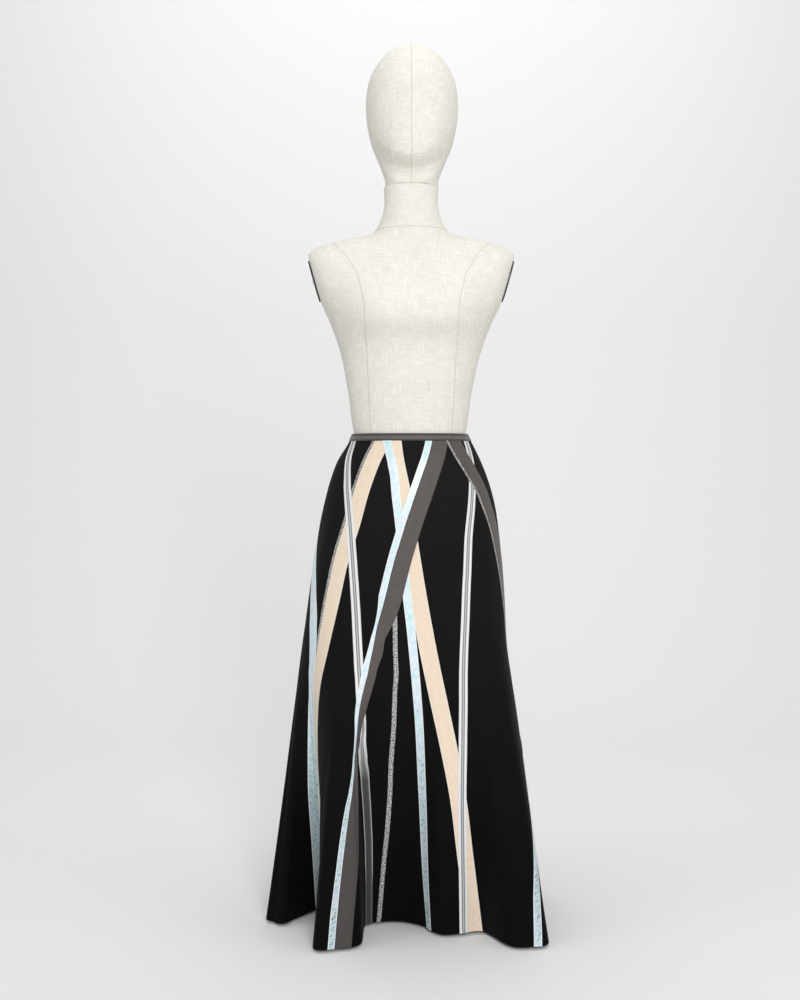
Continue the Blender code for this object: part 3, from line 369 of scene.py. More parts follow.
def on_skirt(shares, drops, lift=0.0):
    """Points of the skirt at shares and drops, moved off it along its normal."""
    a = np.clip(shares, 0.0, 1.0) * (FINE_COLUMNS - 1)
    b = np.clip(drops, 0.0, SKIRT_DROP) / SKIRT_DROP * (FINE_ROWS - 1)
    i = np.minimum(a.astype(int), FINE_COLUMNS - 2)
    j = np.minimum(b.astype(int), FINE_ROWS - 2)
    a = (a - i)[..., None]
    b = (b - j)[..., None]

    def mixed(grid):
        upper = grid[j, i] * (1 - a) + grid[j, i + 1] * a
        lower = grid[j + 1, i] * (1 - a) + grid[j + 1, i + 1] * a
        return upper * (1 - b) + lower * b

    normal = mixed(FINE_NORMALS)
    normal /= np.linalg.norm(normal, axis=-1)[..., None]
    return mixed(FINE_POINTS) + normal * np.asarray(lift)[..., None]


SMOOTH_ANGLE = 40                 # degrees; what turns more sharply stays an edge


def lay_flat(mesh, corners, flat_u, flat_v):
    """The UV map: flat lengths of the points, for each corner of the faces."""
    flat = np.column_stack([np.ravel(flat_u)[corners], np.ravel(flat_v)[corners]])
    mesh.uv_layers.new(name="flat").data.foreach_set("uv", flat.ravel())


def shell(name, outer, inner, flat_u, flat_v, closed=False):
    """A closed wall between two grids of points, with flat lengths as its UV map."""
    rows, columns = outer.shape[:2]
    count = rows * columns
    index = np.arange(count).reshape(rows, columns)
    if closed:
        index = np.column_stack([index, index[:, :1]])
    a, b = index[:-1, :-1].ravel(), index[:-1, 1:].ravel()
    c, d = index[1:, 1:].ravel(), index[1:, :-1].ravel()
    faces = [np.column_stack([a, d, c, b]), np.column_stack([a, b, c, d]) + count]
    loops = [(index[0], 1), (index[-1], -1)]
    if not closed:
        loops += [(index[:, 0], -1), (index[:, -1], 1)]
    for edge, turn in loops:
        here, there = edge[:-1], edge[1:]
        wall = [here, there, there + count, here + count]
        faces.append(np.column_stack(wall if turn > 0 else wall[::-1]))
    quads = np.vstack(faces)
    points = np.vstack([outer.reshape(-1, 3), inner.reshape(-1, 3)])
    mesh = bpy.data.meshes.new(name)
    mesh.vertices.add(len(points))
    mesh.vertices.foreach_set("co", points.ravel())
    mesh.loops.add(quads.size)
    mesh.loops.foreach_set("vertex_index", quads.ravel())
    mesh.polygons.add(len(quads))
    mesh.polygons.foreach_set("loop_start", np.arange(len(quads)) * 4)
    mesh.update(calc_edges=True)
    lay_flat(mesh, quads.ravel() % count, flat_u, flat_v)
    mesh.validate()
    mesh.shade_smooth()
    made = placed(name, mesh)
    bpy.context.view_layer.objects.active = made
    made.select_set(True)
    bpy.ops.object.shade_smooth_by_angle(angle=math.radians(SMOOTH_ANGLE))
    made.select_set(False)
    return made


def node(tree, kind, inputs, **settings):
    """The outputs of a new shader node, each of whose inputs gets a socket or a value."""
    made = tree.nodes.new(kind)
    for key, value in settings.items():
        setattr(made, key, value)
    for key, value in inputs.items():
        if isinstance(value, bpy.types.NodeSocket):
            tree.links.new(value, made.inputs[key])
        else:
            made.inputs[key].default_value = value
    return made.outputs


def cloth_finish(name, roughness, sheen=0.0, specular=0.5):
    """A Principled material with a flat UV map to draw on; returns it with its parts."""
    made, tree, shader = plain_finish(name, roughness)
    shader.inputs["Sheen Weight"].default_value = sheen
    shader.inputs["Specular IOR Level"].default_value = specular
    return made, tree, shader, node(tree, "ShaderNodeUVMap", {}, uv_map="flat")["UV"]


def calc(tree, operation, *values):
    """A Math node on sockets or numbers."""
    return node(tree, "ShaderNodeMath", dict(enumerate(values)), operation=operation)[0]


def times(tree, first, second):
    """A product of sockets or numbers."""
    return calc(tree, "MULTIPLY", first, second)


def ribs(tree, place, pitch):
    """Waves from -1 to 1, a pitch apart."""
    return calc(tree, "SINE", times(tree, place, 2 * math.pi / pitch))


def blended(tree, mask, *colours):
    """A colour mix of two colours, tuples or sockets, by a mask."""
    first, second = ((*c, 1.0) if isinstance(c, tuple) else c for c in colours)
    return node(tree, "ShaderNodeMix", {0: mask, 6: first, 7: second}, data_type="RGBA")[2]


def object_place(tree):
    """Places on the piece, in metres."""
    return node(tree, "ShaderNodeTexCoord", {})["Object"]


def axes(tree, place):
    """The X, Y and Z of a place."""
    return node(tree, "ShaderNodeSeparateXYZ", {0: place})


def mottle(tree, place, scale, stretch=(1.0, 1.0, 1.0), detail=3.0, twist=0.0):
    """Noise from 0 to 1 on a place, stretched along its axes and twisted."""
    scaled = node(tree, "ShaderNodeMapping", {"Vector": place, "Scale": stretch})["Vector"]
    inputs = {"Vector": scaled, "Scale": scale, "Detail": detail, "Distortion": twist}
    return node(tree, "ShaderNodeTexNoise", inputs)["Fac"]


NO_LIMIT = 9.0                    # further out than any value that a mask is made from


def band(tree, value, low, high, soft):
    """1 where a value lies between two limits, with soft edges."""
    edges = []
    for limit, before, after in ((low, 0.0, 1.0), (high, 1.0, 0.0)):
        inputs = {"Value": value, "From Min": limit - soft, "From Max": limit + soft,
                  "To Min": before, "To Max": after}
        edges.append(node(tree, "ShaderNodeMapRange", inputs, interpolation_type="SMOOTHSTEP")[0])
    return times(tree, *edges)


def above(tree, value, low, soft):
    """1 where a value lies above a limit, with a soft edge."""
    return band(tree, value, low, NO_LIMIT, soft)


def below(tree, value, high, soft):
    """1 where a value lies below a limit, with a soft edge."""
    return band(tree, value, -NO_LIMIT, high, soft)


def fall(tree, high, low):
    """A mask that goes from 0 at one height above the floor to 1 at a lower one."""
    height = axes(tree, object_place(tree))["Z"]
    inputs = {"Value": height, "From Min": high, "From Max": low}
    return node(tree, "ShaderNodeMapRange", inputs)[0]


def surface(tree, shader, colour, height, strength, distance):
    """Gives the shader its colour and a bump from a height."""
    tree.links.new(colour, shader.inputs["Base Color"])
    inputs = {"Height": height, "Strength": strength, "Distance": distance}
    bump = node(tree, "ShaderNodeBump", inputs)
    tree.links.new(bump["Normal"], shader.inputs["Normal"])


def woven_group():
    """A plain weave's height from flat lengths: Pitch is the threads' distance in metres."""
    group = bpy.data.node_groups.new("plain_weave", "ShaderNodeTree")
    group.interface.new_socket("Flat", in_out="INPUT", socket_type="NodeSocketVector")
    pitch = group.interface.new_socket("Pitch", in_out="INPUT", socket_type="NodeSocketFloat")
    pitch.default_value = 0.0008
    group.interface.new_socket("Height", in_out="OUTPUT", socket_type="NodeSocketFloat")
    start = group.nodes.new("NodeGroupInput")
    end = group.nodes.new("NodeGroupOutput")
    place = axes(group, start.outputs["Flat"])
    turn = calc(group, "DIVIDE", math.pi, start.outputs["Pitch"])
    waves = [calc(group, "SINE", times(group, place[axis], turn)) for axis in ("X", "Y")]
    height = calc(group, "MULTIPLY_ADD", times(group, *waves), 0.5, 0.5)
    group.links.new(height, end.inputs["Height"])
    return group


PLAIN_WEAVE = woven_group()


def woven(tree, flat, pitch):
    """The weave group in a material."""
    inputs = {"Flat": flat, "Pitch": pitch}
    return node(tree, "ShaderNodeGroup", inputs, node_tree=PLAIN_WEAVE)["Height"]


def black_crepe():
    """Matte black crepe: a pebbled face, slightly lighter where it has been handled, with painted
    shade that darkens it towards the hem.
    """
    made, tree, shader, flat = cloth_finish("black_crepe_cloth", 0.80, sheen=0.015, specular=0.08)
    shader.inputs["Sheen Roughness"].default_value = 0.45
    worn = mottle(tree, object_place(tree), 9.0, detail=4.0)
    slub = mottle(tree, flat, 60.0, stretch=(6.0, 0.5, 1.0))
    tone = calc(tree, "MULTIPLY_ADD", slub, 0.35, times(tree, worn, 0.65))
    pale = blended(tree, tone, (0.0060, 0.0050, 0.0055), (0.0140, 0.0122, 0.0126))
    deep = blended(tree, tone, (0.0008, 0.0006, 0.0010), (0.0040, 0.0033, 0.0042))
    # painted shade: the cloth turns darker from below the hips down to the hem, for the shade in
    # the deep folds
    colour = blended(tree, fall(tree, 0.82, 0.15), pale, deep)
    pebble = mottle(tree, flat, 1400.0, detail=2.0)
    height = calc(tree, "MULTIPLY_ADD", woven(tree, flat, 0.0007), 0.4, pebble)
    surface(tree, shader, colour, height, 0.35, 0.0002)
    return made


CREPE = black_crepe()
CLOTH_COLUMNS = 400
CLOTH_ROWS = 216
SEAM_SINK = 0.0007                # how far a panel turns in at its seam
SEAM_WIDTH = 0.0022
SEAM_GAP = 0.00015
HEM_TURN = 0.022                  # turned up inside
HEM_THICKER = 0.7                 # what the turned up hem adds to the wall, as a share of it
HEM_STEP = 0.001
SIDE_SEAM_SHARE = (0.26, 0.74)
PANEL_CUTS = (
    ("skirt_panel_back_right", "skirt_back_right", 0.0, SIDE_SEAM_SHARE[0]),
    ("skirt_panel_front", "skirt_front", *SIDE_SEAM_SHARE),
    ("skirt_panel_back_left", "skirt_back_left", SIDE_SEAM_SHARE[1], 1.0),
)
for panel_name, cad_name, first_share, last_share in PANEL_CUTS:
    count = round(CLOTH_COLUMNS * (last_share - first_share))
    spread = np.linspace(0, 1, count)[None, :]
    drops = np.linspace(0.0, SKIRT_DROP, CLOTH_ROWS)
    girth = np.interp(drops, FINE_DROPS, FINE_LENGTHS[:, -1])
    length = girth[:, None] * (last_share - first_share)
    from_edge = np.minimum(spread, 1 - spread) * length
    sink = SEAM_SINK * np.exp(-(from_edge / SEAM_WIDTH) ** 2)
    trim = SEAM_GAP / girth[:, None] * (1 - 2 * spread)
    shares = first_share + (last_share - first_share) * spread + trim
    down = np.repeat(drops[:, None], count, axis=1)
    wall = CLOTH * (1 + HEM_THICKER * ease((down - SKIRT_DROP + HEM_TURN) / HEM_STEP))
    panel = shell(panel_name, on_skirt(shares, down, -sink), on_skirt(shares, down, -sink - wall),
                  spread * length, down)
    panel.data.materials.append(CREPE)
    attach(panel, "dress_form")
    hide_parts(cad_name)


# Waist binding
# A narrow ribbed band folded over the raw waist edge and stitched through. It is dark
# olive grey, a little lighter along its middle, and hides the ribbons' upper ends.

BINDING_DROP = 0.012
BINDING_WALL = 0.0008
BINDING_LIFT = 0.0009             # between the skirt's face and the band's outer face
BINDING_STEPS = 8                 # down each side and over the fold
BINDING_COLUMNS = 400


def binding_finish():
    """Ribbed grosgrain, lighter along its middle and darker towards its lower edge and its fold."""
    made, tree, shader, flat = cloth_finish("binding_grosgrain_cloth", 0.62, sheen=0.15)
    place = axes(tree, flat)
    middle = band(tree, place["Y"], 0.0030, 0.0085, 0.0020)
    speck = mottle(tree, flat, 500.0, stretch=(1.0, 0.3, 1.0))
    tone = calc(tree, "MULTIPLY_ADD", speck, 0.35, times(tree, middle, 0.65))
    colour = blended(tree, tone, (0.016, 0.014, 0.012), (0.140, 0.124, 0.116))
    height = calc(tree, "MULTIPLY_ADD", ribs(tree, place["X"], 0.0009), 0.5, 0.5)
    surface(tree, shader, colour, height, 0.5, 0.0002)
    return made


binding_profile = []
for step in range(BINDING_STEPS + 1):
    binding_profile.append((BINDING_DROP * (1 - step / BINDING_STEPS), BINDING_LIFT, 0.0))
for step in range(1, BINDING_STEPS):
    turn = math.pi * step / BINDING_STEPS
    reach = (BINDING_LIFT * 2 + CLOTH) / 2
    binding_profile.append((0.0, BINDING_LIFT - reach + reach * math.cos(turn),
                            reach * math.sin(turn)))
for step in range(BINDING_STEPS + 1):
    binding_profile.append((BINDING_DROP * step / BINDING_STEPS, -CLOTH - BINDING_LIFT, 0.0))
binding_shares = np.linspace(0.0, 1.0, BINDING_COLUMNS, endpoint=False)
binding_outer = []
for drop, lift, rise in binding_profile:
    ring = on_skirt(binding_shares, np.full(BINDING_COLUMNS, drop), lift)
    binding_outer.append(ring + np.array([0, 0, rise]))
binding_outer = np.array(binding_outer)
profile_step = np.gradient(binding_outer, axis=0)
ring_step = np.roll(binding_outer, -1, axis=1) - np.roll(binding_outer, 1, axis=1)
facing = np.cross(ring_step, profile_step)
facing /= np.linalg.norm(facing, axis=2)[:, :, None]
binding_inner = binding_outer - facing * BINDING_WALL
binding_run = np.cumsum([0.0] + [math.dist(a[:2], b[:2]) + abs(a[2] - b[2]) for a, b in
                                 zip(binding_profile[:-1], binding_profile[1:])])
ring_length = np.linalg.norm(ring_step, axis=2).sum(1).mean() / 2
waist_band = shell("waist_band", binding_outer, binding_inner,
                   np.repeat((binding_shares * ring_length)[None, :], len(binding_profile), axis=0),
                   np.repeat(binding_run[:, None], len(binding_shares), axis=1), closed=True)
waist_band.data.materials.append(binding_finish())
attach(waist_band, "dress_form")
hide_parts("waist_binding")


# Ribbons and tapes
# Woven ribbons, 5 to 30 mm wide, are topstitched along both edges onto the crepe: matte
# peach and taupe, pale aqua satin, speckled silver braid and a white tape with grey lines.
# They cross at slants and turn with the folds; where two cross, the later one lies on top.

RIBBON_WALL = 0.0005
RIBBON_LIFT = 0.00025             # between a ribbon and what it lies on
RIBBON_LAYER = RIBBON_WALL + RIBBON_LIFT
STITCH_PITCH = 0.0034
STITCH_LONG = 0.0022
STITCH_HALF = 0.00022
STITCH_FLAT = 0.8                 # a stitch's height, as a share of its width
STITCH_INSET = 0.0009             # from the ribbon's edge
ROW_STEP = 0.003                  # between the rows of a ribbon's mesh
COLUMN_STEP = 0.0016
FEWEST_COLUMNS = 5
PROBE = 0.001                     # a short way off the cloth, to find which way it faces

# The ribbons' paths: drop below the waist, degrees from the centre front towards the
# wearer's left
STRIPE_LEFT = ((0.0125, -68.0), (0.05, -58.0), (0.09, -50.6), (0.13, -45.0), (0.20, -39.0),
               (0.29, -34.0), (0.327, -32.2), (0.379, -30.2), (0.431, -28.4), (0.466, -26.4),
               (0.492, -23.7), (0.515, -19.2), (0.540, -14.3), (0.560, -12.0), (0.580, -11.3),
               (0.640, -11.1), (0.877, -10.9))
PEACH_LEFT = ((0.0125, -37.5), (0.10, -43.2), (0.15, -45.7), (0.22, -50.9), (0.295, -54.2),
              (0.345, -56.5), (0.38, -58.4), (0.45, -64.0), (0.52, -67.6), (0.60, -70.0),
              (0.68, -71.0), (0.78, -71.8), (0.877, -72.2))
BLUE_CENTRE = ((0.0125, -19.6), (0.052, -12.1), (0.115, -7.6), (0.285, -0.2), (0.345, 2.3),
               (0.432, 5.0), (0.485, 6.2), (0.63, 7.7), (0.81, 9.1), (0.877, 10.4))
PEACH_CENTRE = ((0.0125, -9.7), (0.10, -0.8), (0.20, 4.7), (0.285, 9.5), (0.362, 14.2),
                (0.45, 19.7), (0.54, 24.5), (0.627, 27.6), (0.735, 29.1), (0.877, 30.8))
CROSSING = ((0.0125, 20.8), (0.07, 8.8), (0.125, 0.2), (0.205, -9.0), (0.292, -16.0),
            (0.337, -19.6), (0.379, -21.7), (0.414, -23.8), (0.449, -25.6), (0.483, -27.1),
            (0.517, -27.8), (0.567, -27.9), (0.600, -29.1), (0.650, -31.0), (0.700, -32.3),
            (0.766, -33.4), (0.820, -33.9), (0.877, -34.2))
TAUPE_RIGHT = ((0.0125, 38.3), (0.04, 41.6), (0.067, 46.3), (0.097, 52.0), (0.135, 57.0),
               (0.17, 62.0), (0.222, 67.0), (0.31, 73.5), (0.40, 81.0), (0.52, 91.0),
               (0.66, 102.0), (0.78, 111.0), (0.877, 117.0))
STRIPE_RIGHT = ((0.0125, 64.7), (0.087, 50.0), (0.16, 41.0), (0.253, 36.1), (0.348, 33.3),
                (0.47, 30.2), (0.645, 25.8), (0.82, 23.8), (0.877, 23.3))
SILVER_CENTRE = ((0.285, -10.2), (0.327, -9.7), (0.379, -8.9), (0.430, -7.7), (0.469, -6.6),
                 (0.506, -5.7), (0.560, -5.1), (0.616, -5.3), (0.690, -6.0), (0.766, -7.0),
                 (0.877, -8.1))
BLUE_SIDE_RIGHT = ((0.0125, -112.0), (0.10, -100.0), (0.20, -85.0), (0.287, -70.0),
                   (0.37, -64.4), (0.45, -67.0), (0.50, -69.6), (0.56, -71.2), (0.617, -72.3),
                   (0.654, -73.0), (0.747, -73.7), (0.82, -74.2), (0.877, -74.6))
BLUE_SIDE_LEFT = ((0.0125, 138.0), (0.20, 131.0), (0.35, 116.0), (0.45, 102.0), (0.55, 87.0),
                  (0.65, 73.0), (0.725, 63.2), (0.78, 59.8), (0.877, 56.5))
STRIPE_BACK = ((0.0125, 152.0), (0.15, 150.0), (0.30, 152.0), (0.50, 157.0), (0.70, 162.0),
               (0.877, 165.0))
TAUPE_BACK = ((0.0125, 112.0), (0.12, 118.0), (0.25, 126.0), (0.40, 134.0), (0.55, 140.0),
              (0.70, 144.0), (0.877, 147.0))
PEACH_BACK = ((0.0125, -136.0), (0.12, -139.0), (0.25, -145.0), (0.40, -151.0),
              (0.55, -158.0), (0.70, -163.0), (0.877, -167.0))
BLUE_BACK = ((0.0125, -158.0), (0.12, -149.0), (0.25, -139.0), (0.40, -128.0),
             (0.55, -118.0), (0.70, -109.0), (0.877, -102.0))
# The crossing pair is drawn together lengthwise where it turns into the tube's flank: the
# shares of their widths that the two ribbons keep, by drop
GATHER_COLUMNS = ("drop", "blue_ribbon_crossing", "taupe_ribbon_crossing")
GATHER = (
    (0.283, 1.00, 1.00), (0.309, 0.62, 0.98), (0.335, 0.42, 0.88), (0.361, 0.60, 0.62),
    (0.388, 0.75, 0.64), (0.414, 0.90, 0.52), (0.440, 0.75, 0.53), (0.465, 0.62, 0.52),
    (0.491, 0.50, 0.46), (0.517, 0.32, 0.34), (0.543, 0.24, 0.34), (0.567, 0.25, 0.72),
    (0.593, 0.30, 1.00), (0.617, 0.45, 1.00), (0.643, 0.62, 1.00), (0.700, 0.80, 1.00),
    (0.766, 0.86, 1.00), (0.820, 1.00, 1.00),
)
# How many ribbons lie underneath, by drop
FLAT = ((0.0, 0), (1.0, 0))
OVER_BOTH = ((0.075, 0), (0.090, 2), (0.292, 2), (0.306, 1), (0.592, 1), (0.606, 0))
# Each row's across holds the places of the ribbon's two edges beside its path
RIBBON_COLUMNS = ("name", "path", "across", "layers", "finish")
RIBBONS = (
    ("peach_ribbon_left", PEACH_LEFT, (0.0003, 0.030), FLAT, "peach_ribbon"),
    ("silver_edge_left", PEACH_LEFT, (-0.005, -0.0003), FLAT, "silver_braid"),
    ("peach_ribbon_centre", PEACH_CENTRE, (-0.030, 0.0), ((0.036, 1), (0.050, 0)), "peach_ribbon"),
    ("silver_ribbon_centre", SILVER_CENTRE, (-0.004, 0.004), FLAT, "silver_braid"),
    ("stripe_tape_left", STRIPE_LEFT, (-0.008, 0.008),
     ((0.080, 0), (0.094, 1), (0.250, 1), (0.264, 0)), "stripe_tape"),
    ("blue_ribbon_centre", BLUE_CENTRE, (-0.015, 0.0),
     ((0.036, 2), (0.050, 1), (0.358, 1), (0.372, 0)), "aqua_satin"),
    ("stripe_tape_right", STRIPE_RIGHT, (-0.0078, 0.0078), ((0.530, 0), (0.545, 1)), "stripe_tape"),
    ("taupe_ribbon_crossing", CROSSING, (0.0003, 0.029), OVER_BOTH, "taupe_ribbon"),
    ("blue_ribbon_crossing", CROSSING, (-0.012, -0.0003), OVER_BOTH, "aqua_satin"),
    ("taupe_ribbon_right", TAUPE_RIGHT, (0.0003, 0.028), ((0.110, 1), (0.124, 0)), "taupe_ribbon"),
    ("silver_edge_right", TAUPE_RIGHT, (-0.005, -0.0003), ((0.110, 1), (0.124, 0)), "silver_braid"),
    ("blue_ribbon_left", BLUE_SIDE_RIGHT, (-0.015, 0.015),
     ((0.330, 0), (0.345, 1)), "aqua_satin"),
    ("blue_ribbon_right", BLUE_SIDE_LEFT, (-0.007, 0.007),
     ((0.390, 0), (0.405, 1), (0.640, 1), (0.655, 0)), "aqua_satin"),
    ("stripe_tape_back", STRIPE_BACK, (-0.008, 0.008), FLAT, "stripe_tape"),
    ("taupe_ribbon_back", TAUPE_BACK, (-0.0145, 0.0145),
     ((0.120, 0), (0.135, 1), (0.370, 1), (0.385, 0)), "taupe_ribbon"),
    ("peach_ribbon_back", PEACH_BACK, (-0.015, 0.015), FLAT, "peach_ribbon"),
    ("blue_ribbon_back", BLUE_BACK, (-0.0065, 0.0065),
     ((0.105, 0), (0.120, 1), (0.290, 1), (0.305, 0)), "aqua_satin"),
)


def edge_place(tree, flat):
    """Distances from a ribbon's left edge, its right one and the nearer, and along it."""
    place = axes(tree, flat)
    width = node(tree, "ShaderNodeAttribute", {}, attribute_name="width")["Fac"]
    left, right = place["X"], calc(tree, "SUBTRACT", width, place["X"])
    return left, right, calc(tree, "MINIMUM", left, right), place["Y"]


def peach_finish():
    """Matte peach ribbon: fine ribs across, paler selvedges and a speckled weave."""
    made, tree, shader, flat = cloth_finish("peach_ribbon_cloth", 0.62, sheen=0.10, specular=0.30)
    _, _, near, run = edge_place(tree, flat)
    selvedge = below(tree, near, 0.0016, 0.0004)
    cloud = mottle(tree, flat, 120.0, detail=4.0)
    ground = blended(tree, cloud, (0.730, 0.590, 0.440), (0.880, 0.755, 0.620))
    colour = blended(tree, times(tree, selvedge, 0.8), ground, (0.900, 0.850, 0.770))
    height = calc(tree, "MULTIPLY_ADD", ribs(tree, run, 0.0011), 0.4, cloud)
    surface(tree, shader, colour, height, 0.35, 0.0002)
    return made


def taupe_finish():
    """Matte taupe ribbon: a close ribbed weave, darker selvedges, slightly uneven dye, and painted
    shade lower down.
    """
    made, tree, shader, flat = cloth_finish("taupe_ribbon_cloth", 0.66, sheen=0.12)
    _, _, near, run = edge_place(tree, flat)
    selvedge = below(tree, near, 0.0012, 0.0003)
    cloud = mottle(tree, flat, 90.0, detail=5.0)
    ground = blended(tree, cloud, (0.064, 0.054, 0.050), (0.102, 0.086, 0.080))
    edged = blended(tree, times(tree, selvedge, 0.7), ground, (0.055, 0.047, 0.043))
    # painted shade: the ribbons darken lower down, where they run into the folds
    shade = times(tree, fall(tree, 0.42, 0.20), 0.75)
    colour = blended(tree, shade, edged, (0.036, 0.031, 0.030))
    height = calc(tree, "MULTIPLY_ADD", ribs(tree, run, 0.0010), 0.5, cloud)
    surface(tree, shader, colour, height, 0.35, 0.0002)
    return made


def aqua_finish():
    """Pale satin that shifts between aqua and lavender, with white edges and painted highlights,
    creased low down, with painted shade lower down and in its creases.
    """
    made, tree, shader, flat = cloth_finish("aqua_satin_cloth", 0.34, sheen=0.10, specular=0.55)
    left, _, near, run = edge_place(tree, flat)
    selvedge = below(tree, near, 0.0013, 0.0003)
    low = fall(tree, 0.42, 0.22)
    cloud = mottle(tree, flat, 34.0, stretch=(1.0, 0.5, 1.0))
    patch = above(tree, cloud, 0.50, 0.16)
    ground = blended(tree, patch, (0.550, 0.820, 0.840), (0.700, 0.780, 0.920))
    # painted highlights: pale spots that stand in for the satin's sheen
    gleam = mottle(tree, flat, 110.0, stretch=(1.0, 0.5, 1.0))
    shine = times(tree, above(tree, gleam, 0.52, 0.15), 0.6)
    bright = blended(tree, shine, ground, (0.830, 0.900, 0.910))
    # painted shade: the satin darkens lower down, where the ribbons run into the folds
    low_shade = blended(tree, times(tree, low, 0.7), bright, (0.430, 0.550, 0.590))
    slants = {"X": calc(tree, "ADD", run, left), "Y": calc(tree, "SUBTRACT", run, left)}
    slanted = node(tree, "ShaderNodeCombineXYZ", slants)[0]
    crease = mottle(tree, slanted, 330.0, stretch=(1.0, 0.20, 1.0), twist=0.5)
    # painted shade in the creases, stronger lower down
    dark_line = above(tree, crease, 0.575, 0.045)
    amount = calc(tree, "MULTIPLY_ADD", low, 0.55, 0.16)
    deep = blended(tree, times(tree, dark_line, amount), low_shade, (0.070, 0.110, 0.130))
    colour = blended(tree, selvedge, deep, (0.860, 0.910, 0.930))
    bumps = calc(tree, "MULTIPLY_ADD", crease, calc(tree, "MULTIPLY_ADD", low, 3.0, 0.8), cloud)
    surface(tree, shader, colour, bumps, 0.5, 0.0006)
    return made


def silver_finish():
    """Silver braid: a fine plait of pale and dark threads with a soft metal gleam; its pale specks
    are partly pale threads and partly painted glints.
    """
    made, tree, shader, flat = cloth_finish("silver_braid_cloth", 0.42)
    left, _, _, run = edge_place(tree, flat)
    strands = [ribs(tree, calc(tree, way, left, run), 0.0016) for way in ("ADD", "SUBTRACT")]
    plait = times(tree, *strands)
    speck = mottle(tree, flat, 480.0)
    # pale specks: partly the braid's pale threads, partly painted glints
    glint = above(tree, speck, 0.50, 0.05)
    tone = calc(tree, "MULTIPLY_ADD", plait, 0.20, glint)
    colour = blended(tree, tone, (0.050, 0.047, 0.047), (0.720, 0.710, 0.700))
    shader.inputs["Metallic"].default_value = 0.35
    height = calc(tree, "MULTIPLY_ADD", plait, 0.5, speck)
    surface(tree, shader, colour, height, 0.6, 0.0003)
    return made


def stripe_finish():
    """White twill tape, grey between two fine dark lines, with painted shade where it lies in the
    fold on the wearer's right, darkest near the hem.
    """
    made, tree, shader, flat = cloth_finish("stripe_tape_cloth", 0.58, sheen=0.08)
    left, right, near, run = edge_place(tree, flat)
    from_middle = calc(tree, "ABSOLUTE", times(tree, calc(tree, "SUBTRACT", left, right), 0.5))
    grey = below(tree, from_middle, 0.0033, 0.00025)
    line = band(tree, from_middle, 0.0014, 0.0026, 0.00025)
    core = below(tree, from_middle, 0.0007, 0.0002)
    speck = mottle(tree, flat, 350.0)
    white = blended(tree, speck, (0.720, 0.730, 0.740), (0.900, 0.900, 0.900))
    middle = blended(tree, speck, (0.300, 0.310, 0.330), (0.480, 0.490, 0.500))
    striped = blended(tree, grey, white, middle)
    lined = blended(tree, times(tree, line, 0.75), striped, (0.070, 0.070, 0.080))
    unshaded = blended(tree, times(tree, core, 0.5), lined, (0.640, 0.650, 0.660))
    # painted shade of the fold on the wearer's right: darker from 0.345 m down, darkest near the
    # hem, lighter at the tape's edges
    in_fold = below(tree, axes(tree, object_place(tree))["X"], -0.03, 0.01)
    fold_shade_strength = calc(tree, "MULTIPLY_ADD", below(tree, near, 0.0016, 0.0005), -0.50, 0.96)
    deep = times(tree, fall(tree, 0.345, 0.27), fold_shade_strength)
    lowest = times(tree, fall(tree, 0.16, 0.08), 0.88)
    shade = times(tree, calc(tree, "MAXIMUM", deep, lowest), in_fold)
    colour = blended(tree, shade, unshaded, (0.020, 0.019, 0.021))
    twill = ribs(tree, calc(tree, "ADD", left, run), 0.0009)
    height = calc(tree, "MULTIPLY_ADD", twill, 0.4, speck)
    surface(tree, shader, colour, height, 0.4, 0.0002)
    return made


def thread_finish(name, colour):
    """Twisted sewing thread with a faint gloss."""
    made, tree, shader = plain_finish(name, 0.5)
    fibre = mottle(tree, object_place(tree), 2500.0)
    darker = tuple(c * 0.6 for c in colour)
    tree.links.new(blended(tree, fibre, darker, colour), shader.inputs["Base Color"])
    return made


RIBBON_FINISHES = {
    "peach_ribbon": (peach_finish(), thread_finish("peach_thread", (0.13, 0.09, 0.065))),
    "taupe_ribbon": (taupe_finish(), thread_finish("taupe_thread", (0.19, 0.15, 0.15))),
    "aqua_satin": (aqua_finish(), thread_finish("white_thread", (0.80, 0.88, 0.92))),
    "silver_braid": (silver_finish(), thread_finish("black_thread", (0.03, 0.03, 0.03))),
    "stripe_tape": (stripe_finish(), thread_finish("grey_thread", (0.16, 0.16, 0.17))),
}


def kept_width(name, drops):
    """The share of its width that a ribbon keeps at each drop."""
    if name not in GATHER_COLUMNS:
        return np.ones(len(drops))
    table = np.array(GATHER)
    return smooth_between(table[:, 0], table[:, GATHER_COLUMNS.index(name)], drops)


SLANT_STEP = 0.0015               # half the stretch on which a path's slant is measured
LAST_ROW = FINE_ROWS - 1.001      # just before the last row, so that one follows


def path_place(path, across, drops, kept):
    """Shares of lines beside a path, across metres from it, and the path's slant."""
    marks, turns = zip(*path)

    def share_at(at):
        return 0.5 + smooth_between(marks, turns, at) / 360

    share = share_at(drops)
    high = np.clip(drops - SLANT_STEP, marks[0], marks[-1])
    low = np.clip(drops + SLANT_STEP, marks[0], marks[-1])
    run = on_skirt(share_at(low), low) - on_skirt(share_at(high), high)
    level = on_skirt(share + SLANT_STEP, drops) - on_skirt(share - SLANT_STEP, drops)
    lengths = np.linalg.norm(run, axis=1) * np.linalg.norm(level, axis=1)
    sine = np.linalg.norm(np.cross(run, level), axis=1) / lengths
    cosine = (run * level).sum(1) / lengths
    shares = np.empty((len(drops), len(across)))
    for k, drop in enumerate(drops):
        row = min(drop / SKIRT_DROP * (FINE_ROWS - 1), LAST_ROW)
        part = row % 1.0
        length = FINE_LENGTHS[int(row)] * (1 - part) + FINE_LENGTHS[int(row) + 1] * part
        start = np.interp(share[k], FINE_SHARES, length)
        shares[k] = np.interp(start + across * kept[k] / sine[k], length, FINE_SHARES)
    return shares, cosine / sine


def under_side(layers, drops):
    """How far a ribbon's under side is from the skirt, above the ribbons it lies on."""
    return RIBBON_LIFT + RIBBON_LAYER * np.interp(drops, *zip(*layers))


